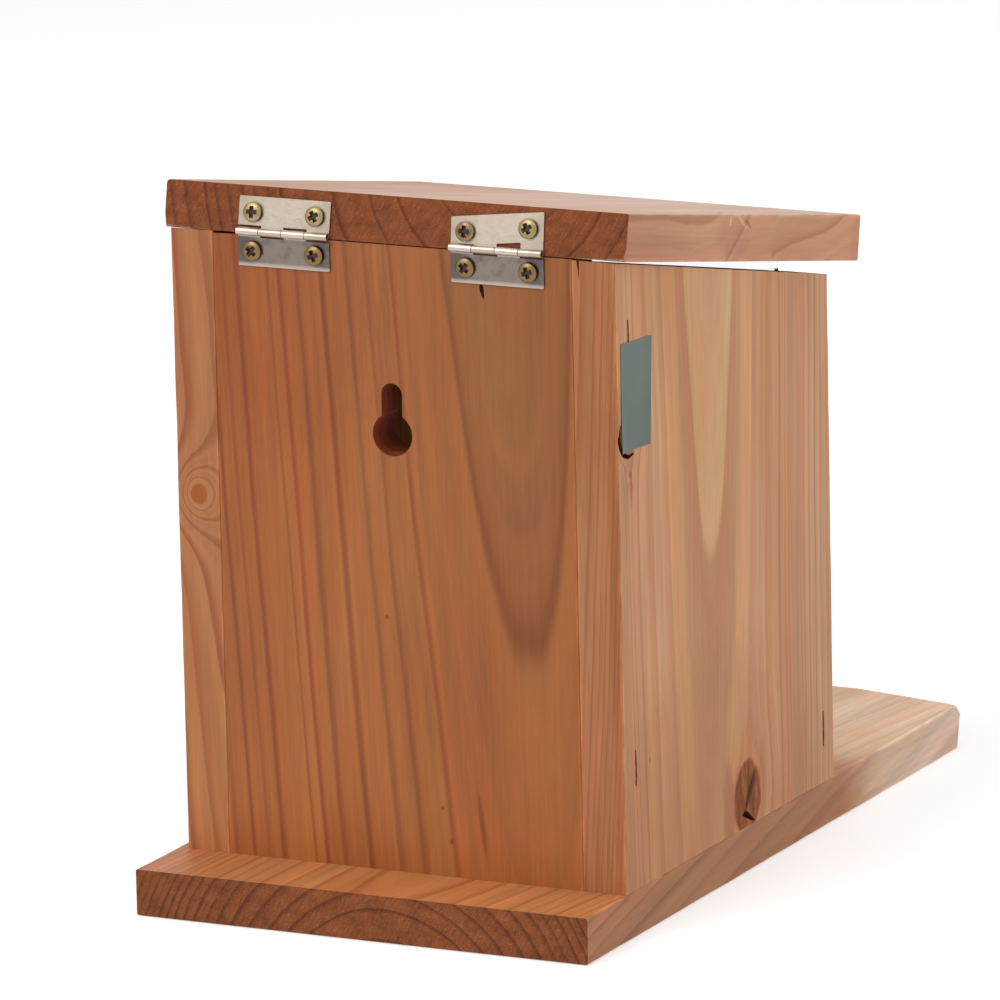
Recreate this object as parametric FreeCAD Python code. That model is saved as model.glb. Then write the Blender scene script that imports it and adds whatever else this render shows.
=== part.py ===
# A wooden nut box for squirrels. A lidded box stands on a long base board, whose front end is the
# squirrel's seat. The lid swings back on two small butt hinges, and a clear window closes the front.
#
# Millimetres. +Z is up, the window faces -Y and the hinges face +Y. The origin is the middle of the
# base board's underside. Left and right are as seen from the front, so left is -X.
import FreeCAD
import Part
import math
import os

# Boards
board = 14.5
arris = 0.7

# Sine of the largest angle between two edges that count as parallel
parallel_limit = 0.001

# Box
box_width = 150.0
box_depth = 153.5
side_rear_height = 195.5
side_front_height = 162.0
back_top_drop = 1.0

# Base board
base_length = 287.0
base_rear_lip = 28.0
base_overhang_left = 0.0
base_overhang_right = 3.5
base_nose_width = 75.5
base_corner_setback = 8.5

# Lid board
lid_length = 172.0
lid_overhang_left = 3.5
lid_overhang_right = 2.0
lid_rear_gap = 0.6
lid_front_gap = 4.5
lid_foot_bevel = 0.9

# Keyhole in the back panel
keyhole_radius = 6.7
keyhole_slot_width = 7.0
keyhole_height = 137.0
keyhole_slot_rise = 12.5
keyhole_offset = 0.8

# Front rail and window
rail_height = 34.0
pane_thickness = 3.0
pane_play = 0.3
pane_side_play = 0.5
pane_groove_depth = 5.0
pane_lid_gap = 0.3

# Hinges
hinge_inset = 39.0
hinge_length = 31.0
hinge_reach = 10.8
hinge_sheet = 0.6
knuckle_count = 4
knuckle_gap = 0.2
knuckle_seam_degrees = 65.0
notch_clearance = 1.35
pin_radius = 0.65
pin_running_clearance = 0.05
pin_head_radius = 1.05
pin_head_height = 0.4
pin_end_recess = 1.5
pin_rise_over_lid_underside = 0.5

# Hinge screws
screw_spacing = 21.0
screw_distance_from_pin = 6.0
screw_shank_radius = 1.5
screw_length = 10.0
screw_point_length = 1.6
screw_countersink_height = 1.55
screw_head_radius = 3.05
screw_head_rim = 0.25
screw_head_rise = 0.3
screw_crown_radius = 2.2
leaf_hole_radius = 2.0
recess_width = 0.8
recess_span = 3.4
recess_depth = 1.1

# Staples
staple_crown = 11.5
staple_wire = 1.1
staple_leg = 30.0
staple_sink = 0.6
staple_inset = 8.0
rear_staple_height = 38.0
rear_staple_drop = 24.5
front_staple_height = 17.3
base_staple_side_inset = 30.0
base_staple_back_spacing = 70.0
base_staple_rail_spacing = 40.0

# Places that follow from the sizes above
side_drop = side_rear_height - side_front_height
side_slope = math.atan(side_drop / box_depth)
lid_slope = math.atan((side_drop + lid_rear_gap - lid_front_gap) / box_depth)
lid_slope_degrees = math.degrees(lid_slope)
left_reach = box_width / 2 + max(lid_overhang_left, base_overhang_left)
right_reach = box_width / 2 + max(lid_overhang_right, base_overhang_right)
box_middle = (left_reach - right_reach) / 2
box_left = box_middle - box_width / 2
box_right = box_middle + box_width / 2
box_rear = base_length / 2 - base_rear_lip
box_front = box_rear - box_depth
base_top = board
side_rear_top = base_top + side_rear_height
rail_rear = box_front + board
pane_front = rail_rear + pane_play
groove_width = pane_thickness + 2 * pane_play
knuckle_radius = pin_radius + hinge_sheet
pin_y = box_rear + knuckle_radius
lid_corner_y = (pin_y - knuckle_radius * math.cos(lid_slope)
                + pin_rise_over_lid_underside * math.sin(lid_slope))
lid_corner_z = side_rear_top + lid_rear_gap
pin_z = (lid_corner_z + knuckle_radius * math.sin(lid_slope)
         + pin_rise_over_lid_underside * math.cos(lid_slope))


def vector(x, y, z):
    """A point or direction."""
    return FreeCAD.Vector(x, y, z)


def block(x_low, x_high, y_low, y_high, z_low, z_high):
    """A square-edged block between two corners."""
    size = (x_high - x_low, y_high - y_low, z_high - z_low)
    return Part.makeBox(size[0], size[1], size[2], vector(x_low, y_low, z_low))


def prism(points, x_low, x_high):
    """A solid whose outline is given in Y and Z, from one X to another."""
    corners = [vector(x_low, y, z) for y, z in points]
    face = Part.Face(Part.makePolygon(corners + corners[:1]))
    return face.extrude(vector(x_high - x_low, 0, 0))


def eased(solid, grain):
    """A planed board with the arrises along its grain eased, and its sawn ends left sharp."""
    along = [edge for edge in solid.Edges
             if edge.tangentAt(edge.FirstParameter).cross(grain).Length < parallel_limit]
    return solid.makeFillet(arris, along)


def lid_underside(y):
    """Height of the lid's underside over a place on the Y axis."""
    return lid_corner_z - (lid_corner_y - y) * math.tan(lid_slope)


def turned(solid, degrees):
    """A hinge solid turned about the pin's centre line, which lies on the X axis here."""
    copy = solid.copy()
    copy.rotate(vector(0, 0, 0), vector(1, 0, 0), degrees)
    return copy


def at_hinge(solid, hinge_x):
    """A hinge solid moved from the X axis to its place on the box."""
    copy = solid.copy()
    copy.translate(vector(hinge_x, pin_y, pin_z))
    return copy


def placed(solid, point, x_way, z_way):
    """A fastener moved so that its own X and Z axes point along two ways."""
    y_way = z_way.cross(x_way)
    copy = solid.copy()
    copy.Placement = FreeCAD.Placement(point, FreeCAD.Rotation(x_way, y_way, z_way, "XYZ"))
    return copy


def knuckle(start, end, bore_radius):
    """One rolled knuckle round the X axis, open at the seam where the sheet's end comes home."""
    seam = math.radians(180.0 - knuckle_seam_degrees)
    middle = (math.pi + seam + 2 * math.pi) / 2
    rim = [vector(start, radius * math.cos(angle), radius * math.sin(angle))
           for radius in (knuckle_radius, bore_radius) for angle in (math.pi, middle, seam)]
    edges = [
        Part.Arc(rim[0], rim[1], rim[2]).toShape(),
        Part.makeLine(rim[2], rim[5]),
        Part.Arc(rim[5], rim[4], rim[3]).toShape(),
        Part.makeLine(rim[3], rim[0]),
    ]
    return Part.Face(Part.Wire(edges)).extrude(vector(end - start, 0, 0))


def screw_places():
    """The two hinge screws of a leaf, as distances along the hinge from its middle."""
    return (-screw_spacing / 2, screw_spacing / 2)


def leaf(own_knuckles, bore_radius):
    """A hinge leaf rising from the pin, its wood side towards -Y, rolled from one sheet."""
    pitch = hinge_length / knuckle_count
    half = hinge_length / 2
    wood_side = -knuckle_radius
    outer_side = wood_side + hinge_sheet
    notch_top = knuckle_radius + notch_clearance
    shape = block(-half, half, wood_side, outer_side, notch_top, hinge_reach)
    for index in own_knuckles:
        end = half - index * pitch - knuckle_gap / 2
        start = half - (index + 1) * pitch + knuckle_gap / 2
        strip = block(start, end, wood_side, outer_side, 0, notch_top)
        shape = shape.fuse(strip).fuse(knuckle(start, end, bore_radius))
    for x in screw_places():
        hole = Part.makeCylinder(leaf_hole_radius, 3 * hinge_sheet,
                                 vector(x, wood_side - hinge_sheet, screw_distance_from_pin),
                                 vector(0, 1, 0))
        shape = shape.cut(hole)
    return shape.removeSplitter()


def hinge_pin():
    """The pin of a hinge along the X axis, its small head at the +X end."""
    half = hinge_length / 2
    along = vector(1, 0, 0)
    shank = Part.makeCylinder(pin_radius, hinge_length - pin_end_recess,
                              vector(pin_end_recess - half, 0, 0), along)
    head = Part.makeCone(pin_head_radius, pin_radius, pin_head_height, vector(half, 0, 0), along)
    return shank.fuse(head)


def screw():
    """A raised countersunk wood screw along Z, with Z = 0 where it meets the leaf's outer face."""
    slope = (screw_head_radius - screw_shank_radius) / screw_countersink_height
    rim_high = screw_rim_low() + screw_head_rim
    crown = rim_high + screw_head_rise
    tip = screw_rim_low() - screw_length
    corners = [
        vector(0, 0, tip),
        vector(screw_shank_radius, 0, tip + screw_point_length),
        vector(screw_shank_radius, 0, -(leaf_hole_radius - screw_shank_radius) / slope),
        vector(screw_head_radius, 0, screw_rim_low()),
        vector(screw_head_radius, 0, rim_high),
        vector(screw_crown_radius, 0, crown),
        vector(0, 0, crown),
    ]
    body = Part.Face(Part.makePolygon(corners + corners[:1]))
    body = body.revolve(vector(0, 0, 0), vector(0, 0, 1), 360)
    span = recess_span / 2
    width = recess_width / 2
    floor = crown - recess_depth
    for half_x, half_y in ((span, width), (width, span)):
        body = body.cut(block(-half_x, half_x, -half_y, half_y, floor, crown + recess_depth))
    return body


def screw_rim_low():
    """Height of the head's widest place over the leaf, where its cone sits in the leaf's hole."""
    return (screw_countersink_height * (screw_head_radius - leaf_hole_radius)
            / (screw_head_radius - screw_shank_radius))


def screw_hole():
    """The hole that a screw fills in the wood, drilled as deep as its point reaches."""
    tip = screw_rim_low() - screw_length
    return Part.makeCylinder(screw_shank_radius, -tip, vector(0, 0, tip))


def staple(extra_height=0.0):
    """A staple with its crown along X and its legs down Z, with Z = 0 at the wood's surface."""
    half = staple_crown / 2
    crown_top = extra_height - staple_sink
    foot = -staple_sink - staple_leg
    shape = block(-half, half, -staple_wire / 2, staple_wire / 2, foot, crown_top)
    inside = block(staple_wire - half, half - staple_wire, -staple_wire, staple_wire,
                   foot - staple_wire, -staple_sink - staple_wire)
    return shape.cut(inside)


def staple_cavity():
    """The wood that a staple takes away, with the slit that its crown leaves in the surface."""
    return staple(staple_sink + arris)


def side_staple_places(side_sign):
    """Placements of the staples through one side panel: two at the rear, one into the front rail."""
    x = box_left if side_sign < 0 else box_right
    rear = box_rear - staple_inset
    front = box_front + staple_inset
    spots = ((rear, rear_staple_height), (rear, side_rear_height - rear_staple_drop),
             (front, front_staple_height))
    return [(vector(x, y, base_top + height), vector(0, 0, 1), vector(side_sign, 0, 0))
            for y, height in spots]


def base_staple_places():
    """Placements of the staples up through the base board into each upright board."""
    along_x = vector(1, 0, 0)
    along_y = vector(0, 1, 0)
    down = vector(0, 0, -1)
    places = []
    for x in (box_left + board / 2, box_right - board / 2):
        for y in (box_front + base_staple_side_inset, box_rear - base_staple_side_inset):
            places.append((vector(x, y, 0), along_y, down))
    for sign in (-1, 1):
        back_x = box_middle + sign * base_staple_back_spacing / 2
        rail_x = box_middle + sign * base_staple_rail_spacing / 2
        places.append((vector(back_x, box_rear - board / 2, 0), along_x, down))
        places.append((vector(rail_x, box_front + board / 2, 0), along_x, down))
    return places


def staples(places):
    """One staple for each placement."""
    return [placed(staple(), *place) for place in places]


def without_staples(wood, places):
    """A board with the slits and leg holes of its staples."""
    for place in places:
        wood = wood.cut(placed(staple_cavity(), *place))
    return wood


def at_leaf_holes(fastener, hinge_x, way):
    """Copies of a fastener in a leaf's holes: way is 1 for the lid's leaf and -1 for the body's."""
    face_y = -knuckle_radius + hinge_sheet
    height = way * screw_distance_from_pin
    copies = [placed(fastener, vector(x, face_y, height), vector(1, 0, 0), vector(0, 1, 0))
              for x in screw_places()]
    tilt = lid_slope_degrees if way > 0 else 0.0
    return [at_hinge(turned(copy, tilt), hinge_x) for copy in copies]


def base_board():
    """The long board that everything stands on, with its front corners cut back to a blunt nose."""
    left = box_left - base_overhang_left
    right = box_right + base_overhang_right
    nose_left = (left + right - base_nose_width) / 2
    rear = base_length / 2
    corner_front = base_corner_setback - rear
    plan = [(left, rear), (left, corner_front), (nose_left, -rear),
            (nose_left + base_nose_width, -rear), (right, corner_front), (right, rear)]
    corners = [vector(x, y, 0) for x, y in plan]
    wood = Part.Face(Part.makePolygon(corners + corners[:1])).extrude(vector(0, 0, base_top))
    return without_staples(eased(wood, vector(0, 1, 0)), base_staple_places())


def side_panel(side_sign):
    """A side panel, cut to the lid's slope, with the window's groove down its inner face."""
    outer = box_left if side_sign < 0 else box_right
    inner = outer - side_sign * board
    outline = [
        (box_front, base_top),
        (box_rear, base_top),
        (box_rear, side_rear_top),
        (box_front, base_top + side_front_height),
    ]
    wood = eased(prism(outline, min(outer, inner), max(outer, inner)), vector(0, 0, 1))
    groove_low, groove_high = sorted((inner + side_sign * pane_groove_depth, inner - side_sign * arris))
    groove = block(groove_low, groove_high, rail_rear, rail_rear + groove_width,
                   base_top - arris, side_rear_top)
    wood = wood.cut(groove)
    return without_staples(wood, side_staple_places(side_sign) + base_staple_places())


def keyhole():
    """The hanging hole: a round for the screw's head with a slot rising from it."""
    x = box_middle + keyhole_offset
    z = base_top + keyhole_height
    through = board + 2 * arris
    start_y = box_rear - board - arris
    half_slot = keyhole_slot_width / 2
    slot_top = z + keyhole_slot_rise
    cut = Part.makeCylinder(keyhole_radius, through, vector(x, start_y, z), vector(0, 1, 0))
    cut = cut.fuse(Part.makeCylinder(half_slot, through, vector(x, start_y, slot_top), vector(0, 1, 0)))
    slot = block(x - half_slot, x + half_slot, start_y, start_y + through, z, slot_top)
    return cut.fuse(slot).removeSplitter()


def back_panel():
    """The back panel between the side panels, bevelled on top, with the keyhole."""
    inner = box_rear - board
    rear_top = side_rear_top - back_top_drop
    outline = [
        (inner, base_top),
        (box_rear, base_top),
        (box_rear, rear_top),
        (inner, rear_top - board * math.tan(side_slope)),
    ]
    wood = eased(prism(outline, box_left + board, box_right - board), vector(0, 0, 1))
    wood = wood.cut(keyhole())
    for hinge_x in hinge_places().values():
        for hole in at_leaf_holes(screw_hole(), hinge_x, -1):
            wood = wood.cut(hole)
    places = side_staple_places(-1) + side_staple_places(1) + base_staple_places()
    return without_staples(wood, places)


def front_rail():
    """The low rail across the front that the window stands behind."""
    wood = block(box_left + board, box_right - board, box_front, rail_rear,
                 base_top, base_top + rail_height)
    places = side_staple_places(-1) + side_staple_places(1) + base_staple_places()
    return without_staples(eased(wood, vector(1, 0, 0)), places)


def window_pane():
    """The clear pane, which stands on the base board in the side panels' grooves."""
    play = pane_groove_depth - pane_side_play
    top = lid_underside(pane_front) - pane_lid_gap
    return block(box_left + board - play, box_right - board + play,
                 pane_front, pane_front + pane_thickness, base_top, top)


def lid_board():
    """The sloping lid. Its lower rear edge is bevelled, clear of the hinges' lower leaves."""
    ways = ((lid_foot_bevel, 0.0), (lid_length, 0.0), (lid_length, board), (0.0, board),
            (0.0, lid_foot_bevel))
    outline = [(lid_corner_y - along * math.cos(lid_slope) - up * math.sin(lid_slope),
                lid_corner_z - along * math.sin(lid_slope) + up * math.cos(lid_slope))
               for along, up in ways]
    wood = prism(outline, box_left - lid_overhang_left, box_right + lid_overhang_right)
    wood = eased(wood, vector(0, math.cos(lid_slope), math.sin(lid_slope)))
    for hinge_x in hinge_places().values():
        for hole in at_leaf_holes(screw_hole(), hinge_x, 1):
            wood = wood.cut(hole)
    return wood


def hinge_places():
    """The middle of each hinge along X."""
    return {"left": box_left + hinge_inset, "right": box_right - hinge_inset}


def hinge_nodes():
    """Both hinges: two leaves, a pin and two pairs of screws each."""
    body_leaf = leaf(range(0, knuckle_count, 2), pin_radius).mirror(vector(0, 0, 0), vector(0, 0, 1))
    lid_leaf = turned(leaf(range(1, knuckle_count, 2), pin_radius + pin_running_clearance),
                      lid_slope_degrees)
    nodes = {}
    for side, hinge_x in hinge_places().items():
        nodes[side + "_hinge_body_leaf"] = at_hinge(body_leaf, hinge_x)
        nodes[side + "_hinge_lid_leaf"] = at_hinge(lid_leaf, hinge_x)
        nodes[side + "_hinge_pin"] = at_hinge(hinge_pin(), hinge_x)
        nodes[side + "_hinge_body_screws"] = Part.makeCompound(at_leaf_holes(screw(), hinge_x, -1))
        nodes[side + "_hinge_lid_screws"] = Part.makeCompound(at_leaf_holes(screw(), hinge_x, 1))
    return nodes


def all_nodes():
    """Every separate piece of the box, by name."""
    nodes = {
        "base_board": base_board(),
        "left_side_panel": side_panel(-1),
        "right_side_panel": side_panel(1),
        "back_panel": back_panel(),
        "front_rail": front_rail(),
        "window_pane": window_pane(),
        "lid_board": lid_board(),
        "left_side_staples": Part.makeCompound(staples(side_staple_places(-1))),
        "right_side_staples": Part.makeCompound(staples(side_staple_places(1))),
        "base_staples": Part.makeCompound(staples(base_staple_places())),
    }
    nodes.update(hinge_nodes())
    return nodes


os.makedirs("parts", exist_ok=True)
for name, shape in all_nodes().items():
    shape.exportStep("parts/" + name + ".step")
print("lid hinge pin at Y %.3f Z %.3f" % (pin_y, pin_z))
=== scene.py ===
"""Dresses the squirrel feeder box: planed softwood boards, two butt hinges, staples and a window.

Sizes are millimetres and are turned into metres as a mesh is made. Every board has its own local
directions: across its width, through its depth, and along its grain.
"""

import logging
import math
from dataclasses import dataclass, field
from enum import Enum
from typing import Callable, Iterable, Sequence

import bmesh
import bpy
from mathutils import Euler, Matrix, Vector, noise


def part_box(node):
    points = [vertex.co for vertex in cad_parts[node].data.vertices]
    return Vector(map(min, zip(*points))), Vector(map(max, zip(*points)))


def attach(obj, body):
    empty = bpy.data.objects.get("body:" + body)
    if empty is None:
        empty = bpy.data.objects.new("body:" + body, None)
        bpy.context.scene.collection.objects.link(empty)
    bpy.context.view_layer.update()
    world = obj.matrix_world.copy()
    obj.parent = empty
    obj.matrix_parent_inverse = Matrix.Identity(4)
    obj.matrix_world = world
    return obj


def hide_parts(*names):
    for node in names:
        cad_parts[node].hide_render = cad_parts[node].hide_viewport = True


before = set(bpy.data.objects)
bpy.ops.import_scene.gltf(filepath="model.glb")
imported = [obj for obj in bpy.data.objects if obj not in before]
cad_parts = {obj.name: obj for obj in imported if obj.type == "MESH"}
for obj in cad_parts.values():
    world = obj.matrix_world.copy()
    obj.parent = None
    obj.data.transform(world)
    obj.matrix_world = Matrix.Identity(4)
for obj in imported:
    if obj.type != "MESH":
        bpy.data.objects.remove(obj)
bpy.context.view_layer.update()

LOG = logging.getLogger("feeder_box")
MM = 0.001
X, Y, Z = Vector((1, 0, 0)), Vector((0, 1, 0)), Vector((0, 0, 1))

LID_SLOPE = math.radians(10.9146)
BOARD = 14.5
BOX_HALF, BOX_REAR, BOX_FRONT = 75.0, 115.5, -38.0
INNER_HALF = BOX_HALF - BOARD

Colour = tuple[int, int, int]
Place = tuple[float, float]
Tone = tuple[float, float, float]
Socket = bpy.types.NodeSocket
Tree = bpy.types.NodeTree
Material = bpy.types.Material
Mesh = bpy.types.Mesh
Piece = bpy.types.Object


class Body(Enum):
    """The two bodies that pieces ride on."""

    BOX = "box"
    LID = "lid"


class Slot(Enum):
    """The record's material slots."""

    WOOD = "softwood"
    HINGE = "hinge_steel"
    SCREW = "screw_steel"
    STAPLE = "staple_steel"
    WINDOW = "clear_acrylic"


def linear(colour: Colour) -> tuple[float, float, float, float]:
    """Turns a colour from 0 to 255 as seen on a screen into the renderer's linear values."""
    parts = [c / 255 for c in colour]
    return (*[c / 12.92 if c <= 0.04045 else ((c + 0.055) / 1.055) ** 2.4 for c in parts], 1.0)


def times(colour: Colour, factor: Tone) -> Colour:
    """A colour with each channel scaled."""
    return tuple(min(255, round(c * f)) for c, f in zip(colour, factor))


# ---- nodes


class Wire:
    """A node's output. Each sign of arithmetic on it adds one Math node to its tree."""

    def __init__(self, bench: "Bench", socket: Socket) -> None:
        self.bench, self.socket = bench, socket

    def __add__(self, other: "Value") -> "Wire":
        """This plus another."""
        return self.bench.maths("ADD", self, other)

    def __sub__(self, other: "Value") -> "Wire":
        """This less another."""
        return self.bench.maths("SUBTRACT", self, other)

    def __rsub__(self, other: "Value") -> "Wire":
        """A number less this."""
        return self.bench.maths("SUBTRACT", other, self)

    def __mul__(self, other: "Value") -> "Wire":
        """This times another."""
        return self.bench.maths("MULTIPLY", self, other)

    def __truediv__(self, other: "Value") -> "Wire":
        """This over another."""
        return self.bench.maths("DIVIDE", self, other)

    def __pow__(self, other: "Value") -> "Wire":
        """This to a power."""
        return self.bench.maths("POWER", self, other)

    def __abs__(self) -> "Wire":
        """This without its sign."""
        return self.bench.maths("ABSOLUTE", self)

    def scaled(self, factor: "Value", shift: "Value") -> "Wire":
        """This times a factor, plus a shift."""
        return self.bench.maths("MULTIPLY_ADD", self, factor, shift)


Value = Wire | float | tuple | Vector | str | bool


class Bench:
    """Adds nodes to one tree and joins them."""

    def __init__(self, tree: Tree) -> None:
        self.tree = tree

    def feed(self, socket: Socket, value: Value) -> None:
        """Links a socket, or sets its value."""
        if isinstance(value, Wire):
            self.tree.links.new(value.socket, socket)
        else:
            socket.default_value = value

    def add(self, kind: str, given: dict | None = None, **settings: object) -> bpy.types.Node:
        """Adds a node.

        Args:
            kind: the node's type.
            given: what each input gets, by name or number.
            settings: properties of the node, set before its inputs.

        Returns:
            The node.
        """
        node = self.tree.nodes.new(kind)
        for name, value in settings.items():
            setattr(node, name, value)
        for name, value in (given or {}).items():
            self.feed(node.inputs[name], value)
        return node

    def out(self, kind: str, given: dict | None = None, output: int | str = 0, **settings: object) -> Wire:
        """One output, by name or number, of a node that is added."""
        return Wire(self, self.add(kind, given, **settings).outputs[output])

    def maths(self, operation: str, *values: Value, clamp: bool = False) -> Wire:
        """The result of a Math node."""
        return self.out("ShaderNodeMath", dict(enumerate(values)), operation=operation, use_clamp=clamp)

    def vector(self, operation: str, *values: Value) -> Wire:
        """The result of a Vector Math node; the last value of SCALE is its factor."""
        given = dict(enumerate(values))
        if operation == "SCALE":
            given[3] = given.pop(1)
        output = 1 if operation in ("LENGTH", "DOT_PRODUCT", "DISTANCE") else 0
        return self.out("ShaderNodeVectorMath", given, output, operation=operation)

    def point(self, x: Value = 0.0, y: Value = 0.0, z: Value = 0.0) -> Wire:
        """A vector from three numbers."""
        return self.out("ShaderNodeCombineXYZ", {0: x, 1: y, 2: z})

    def parts(self, place: Value) -> tuple[Wire, ...]:
        """The three numbers of a vector."""
        node = self.add("ShaderNodeSeparateXYZ", {0: place})
        return tuple(Wire(self, socket) for socket in node.outputs[:3])

    def blend(self, share: Value, first: Value, second: Value, way: str = "MIX") -> Wire:
        """Two colours mixed."""
        return self.out("ShaderNodeMix", {0: share, 6: first, 7: second}, 2, data_type="RGBA", blend_type=way)

    def tint(self, share: Value, colour: Value, tone: Tone) -> Wire:
        """A colour with its channels scaled, as far as a share says."""
        return self.blend(share, colour, (*tone, 1.0), "MULTIPLY")

    def span(self, value: Value, low: Value, high: Value, start: Value = 0.0, end: Value = 1.0,
             smooth: bool = True) -> Wire:
        """A value mapped from one range to another and held inside it."""
        way = "SMOOTHSTEP" if smooth else "LINEAR"
        given = {0: value, 1: low, 2: high, 3: start, 4: end}
        return self.out("ShaderNodeMapRange", given, interpolation_type=way)

    def noise(self, place: Value, detail: float = 2.0, rough: float = 0.5, colour: bool = False) -> Wire:
        """Soft noise from 0 to 1 at a place, one unit to a lump."""
        given = {"Vector": place, "Scale": 1.0, "Detail": detail, "Roughness": rough}
        return self.out("ShaderNodeTexNoise", given, 1 if colour else 0)

    def stretched(self, place: Value, lumps: Sequence[float], shift: Value = 0.0) -> Wire:
        """A place divided by a lump's sizes, and moved along for another draw."""
        scaled = self.vector("MULTIPLY", place, tuple(1 / size for size in lumps))
        return self.vector("ADD", scaled, self.point(shift, shift, shift))

    def strayed(self, place: Value, lumps: Sequence[float], swing: Value,
                shift: Value = 0.0) -> tuple[Wire, ...]:
        """How far a place strays by soft noise in three directions, up to half a swing either way."""
        lump = self.noise(self.stretched(place, lumps, shift), colour=True)
        return self.parts(self.vector("SCALE", self.vector("SUBTRACT", lump, (0.5, 0.5, 0.5)), swing))

    def named(self, node: bpy.types.Node) -> dict[str, Wire]:
        """A node's outputs by name."""
        return {socket.name: Wire(self, socket) for socket in node.outputs}

    def group(self, tree: Tree, given: dict) -> dict[str, Wire]:
        """A node group's outputs by name."""
        return self.named(self.add("ShaderNodeGroup", given, node_tree=tree))


class Effect:
    """A shader node group under construction, with named inputs and outputs."""

    def __init__(self, name: str, **takes: object) -> None:
        """Makes the group's inputs.

        Args:
            name: the group's name.
            takes: each input's default, with underscores for spaces; a tuple makes a vector input, a number
                a plain one.
        """
        self.tree = bpy.data.node_groups.new(name, "ShaderNodeTree")
        for label, value in takes.items():
            self.socket(label.replace("_", " "), "INPUT", isinstance(value, tuple)).default_value = value
        self.bench = Bench(self.tree)
        outputs = self.bench.add("NodeGroupInput").outputs
        self.given = [Wire(self.bench, socket) for socket in outputs[:len(takes)]]

    def socket(self, label: str, way: str, vector: bool) -> bpy.types.NodeTreeInterfaceSocket:
        """One of the group's sockets, for a vector or for a plain number."""
        kind = "NodeSocketVector" if vector else "NodeSocketFloat"
        return self.tree.interface.new_socket(label, in_out=way, socket_type=kind)

    def give(self, vectors: Sequence[str] = (), **values: Wire) -> Tree:
        """Makes and feeds the group's outputs.

        Args:
            vectors: the names of those that are vectors.
            values: what each output gives.

        Returns:
            The group.
        """
        for label in values:
            self.socket(label, "OUTPUT", label in vectors)
        result = self.bench.add("NodeGroupOutput").inputs
        for label, value in values.items():
            self.bench.feed(result[label], value)
        return self.tree


ORIGIN, UPWARDS = (0.0, 0.0, 0.0), (0.0, 0.0, 1.0)
LATE_START = 0.5
"""The share of a ring's count at which its late wood starts."""
FACING = (0.62, 0.82)
"""How squarely a face has to meet a direction to count as facing it: not yet, and fully."""


def ring_distance() -> Tree:
    """Distance of a place in a board from the log's pith, which wanders and leans."""
    effect = Effect("ring distance", Place=ORIGIN, Pith_Across=0.0, Pith_Depth=0.0, Lean_Across=0.0,
                    Lean_Depth=0.0, Wander=2.0, Seed=0.0)
    bench = effect.bench
    place, pith_across, pith_depth, lean_across, lean_depth, wander, seed = effect.given
    across, depth, along = bench.parts(place)
    for lumps, share in (((52, 52, 210), 2.0), ((15, 15, 75), 0.5), ((3.5, 3.5, 22), 0.10)):
        sideways, inwards, _ = bench.strayed(place, lumps, wander * share, seed)
        across, depth = across + sideways, depth + inwards
    square_across = (across - along.scaled(lean_across, pith_across)) ** 2.0
    square_depth = (depth - along.scaled(lean_depth, pith_depth)) ** 2.0
    return effect.give(Radius=bench.maths("SQRT", square_across + square_depth))


def ring_tone() -> Tree:
    """How a ring looks at a place: plain early wood, then a late band with a sharper end."""
    effect = Effect("ring tone", Ring=0.0, Peak=0.9, Flip=0.0, Seed=0.0)
    bench, (ring, peak, flip, seed) = effect.bench, effect.given
    share = abs(bench.maths("FRACT", ring) - flip)
    index = bench.maths("FLOOR", ring) + seed
    chance = bench.out("ShaderNodeTexWhiteNoise", {"W": index}, "Color", noise_dimensions="1D")
    red, green, blue = bench.parts(chance)
    fall = bench.span(share, peak, 1.0, 1.0, 0.0)
    band = bench.span(share, LATE_START, peak) * fall
    dark = band * bench.span(red, 0.0, 1.0, 0.45, 1.0, smooth=False)
    return effect.give(Dark=bench.maths("ADD", dark, share * fall * 0.16, clamp=True), Tint=green, Shade=blue)


def fibre() -> Tree:
    """Streaks along the grain: soft bands that follow the rings, and finer hairs between them."""
    effect = Effect("fibre", Place=ORIGIN, Radius=0.0, Seed=0.0)
    bench, (place, radius, seed) = effect.bench, effect.given
    lined = bench.point(radius, 0.0, bench.parts(place)[2])
    band = bench.parts(bench.noise(bench.stretched(lined, (2.4, 1, 190), seed), 4.0, 0.62, colour=True))
    broad = bench.noise(bench.stretched(place, (1.5, 1.5, 70), seed), 3.0, 0.6)
    fine = bench.noise(bench.stretched(place, (0.33, 0.33, 12), seed), 2.0, 0.6)
    streak = band[0].scaled(1.5, -0.75) + broad.scaled(0.7, -0.35) + fine.scaled(0.6, -0.3)
    return effect.give(Streak=streak, Hue=bench.span(band[1], 0.38, 0.62), Height=fine)


def sawn_end() -> Tree:
    """Where a face cuts across the grain: open fibres, painted glints as bright specks, and slanted saw
    marks.
    """
    effect = Effect("sawn end", Place=ORIGIN, Normal=UPWARDS, Grain=UPWARDS, Seed=0.0)
    bench, (place, normal, grain, seed) = effect.bench, effect.given
    facing_grain = abs(bench.vector("DOT_PRODUCT", normal, grain))
    speckle = bench.noise(bench.stretched(place, (0.55, 0.55, 9), seed), 3.0, 0.75)
    spark = bench.noise(bench.stretched(place, (0.75, 0.75, 9), seed + 40.0))
    blotch = bench.noise(bench.stretched(place, (7, 4, 40), seed))
    slanted = bench.out("ShaderNodeMapping", {"Vector": place, "Rotation": (0.0, 0.0, math.radians(-60))})
    saw = bench.parts(bench.noise(bench.stretched(slanted, (4.5, 0.85, 9), seed), 3.0, 0.6, colour=True))
    mixed = saw[0].scaled(0.4, blotch.scaled(0.3, speckle * 0.5))
    return effect.give(End=bench.span(facing_grain, *FACING), Speckle=mixed,
                       Spark=bench.span(spark, 0.60, 0.72), Hue=bench.span(saw[1], 0.36, 0.64),
                       Height=saw[0].scaled(0.5, speckle * 0.8))


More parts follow.
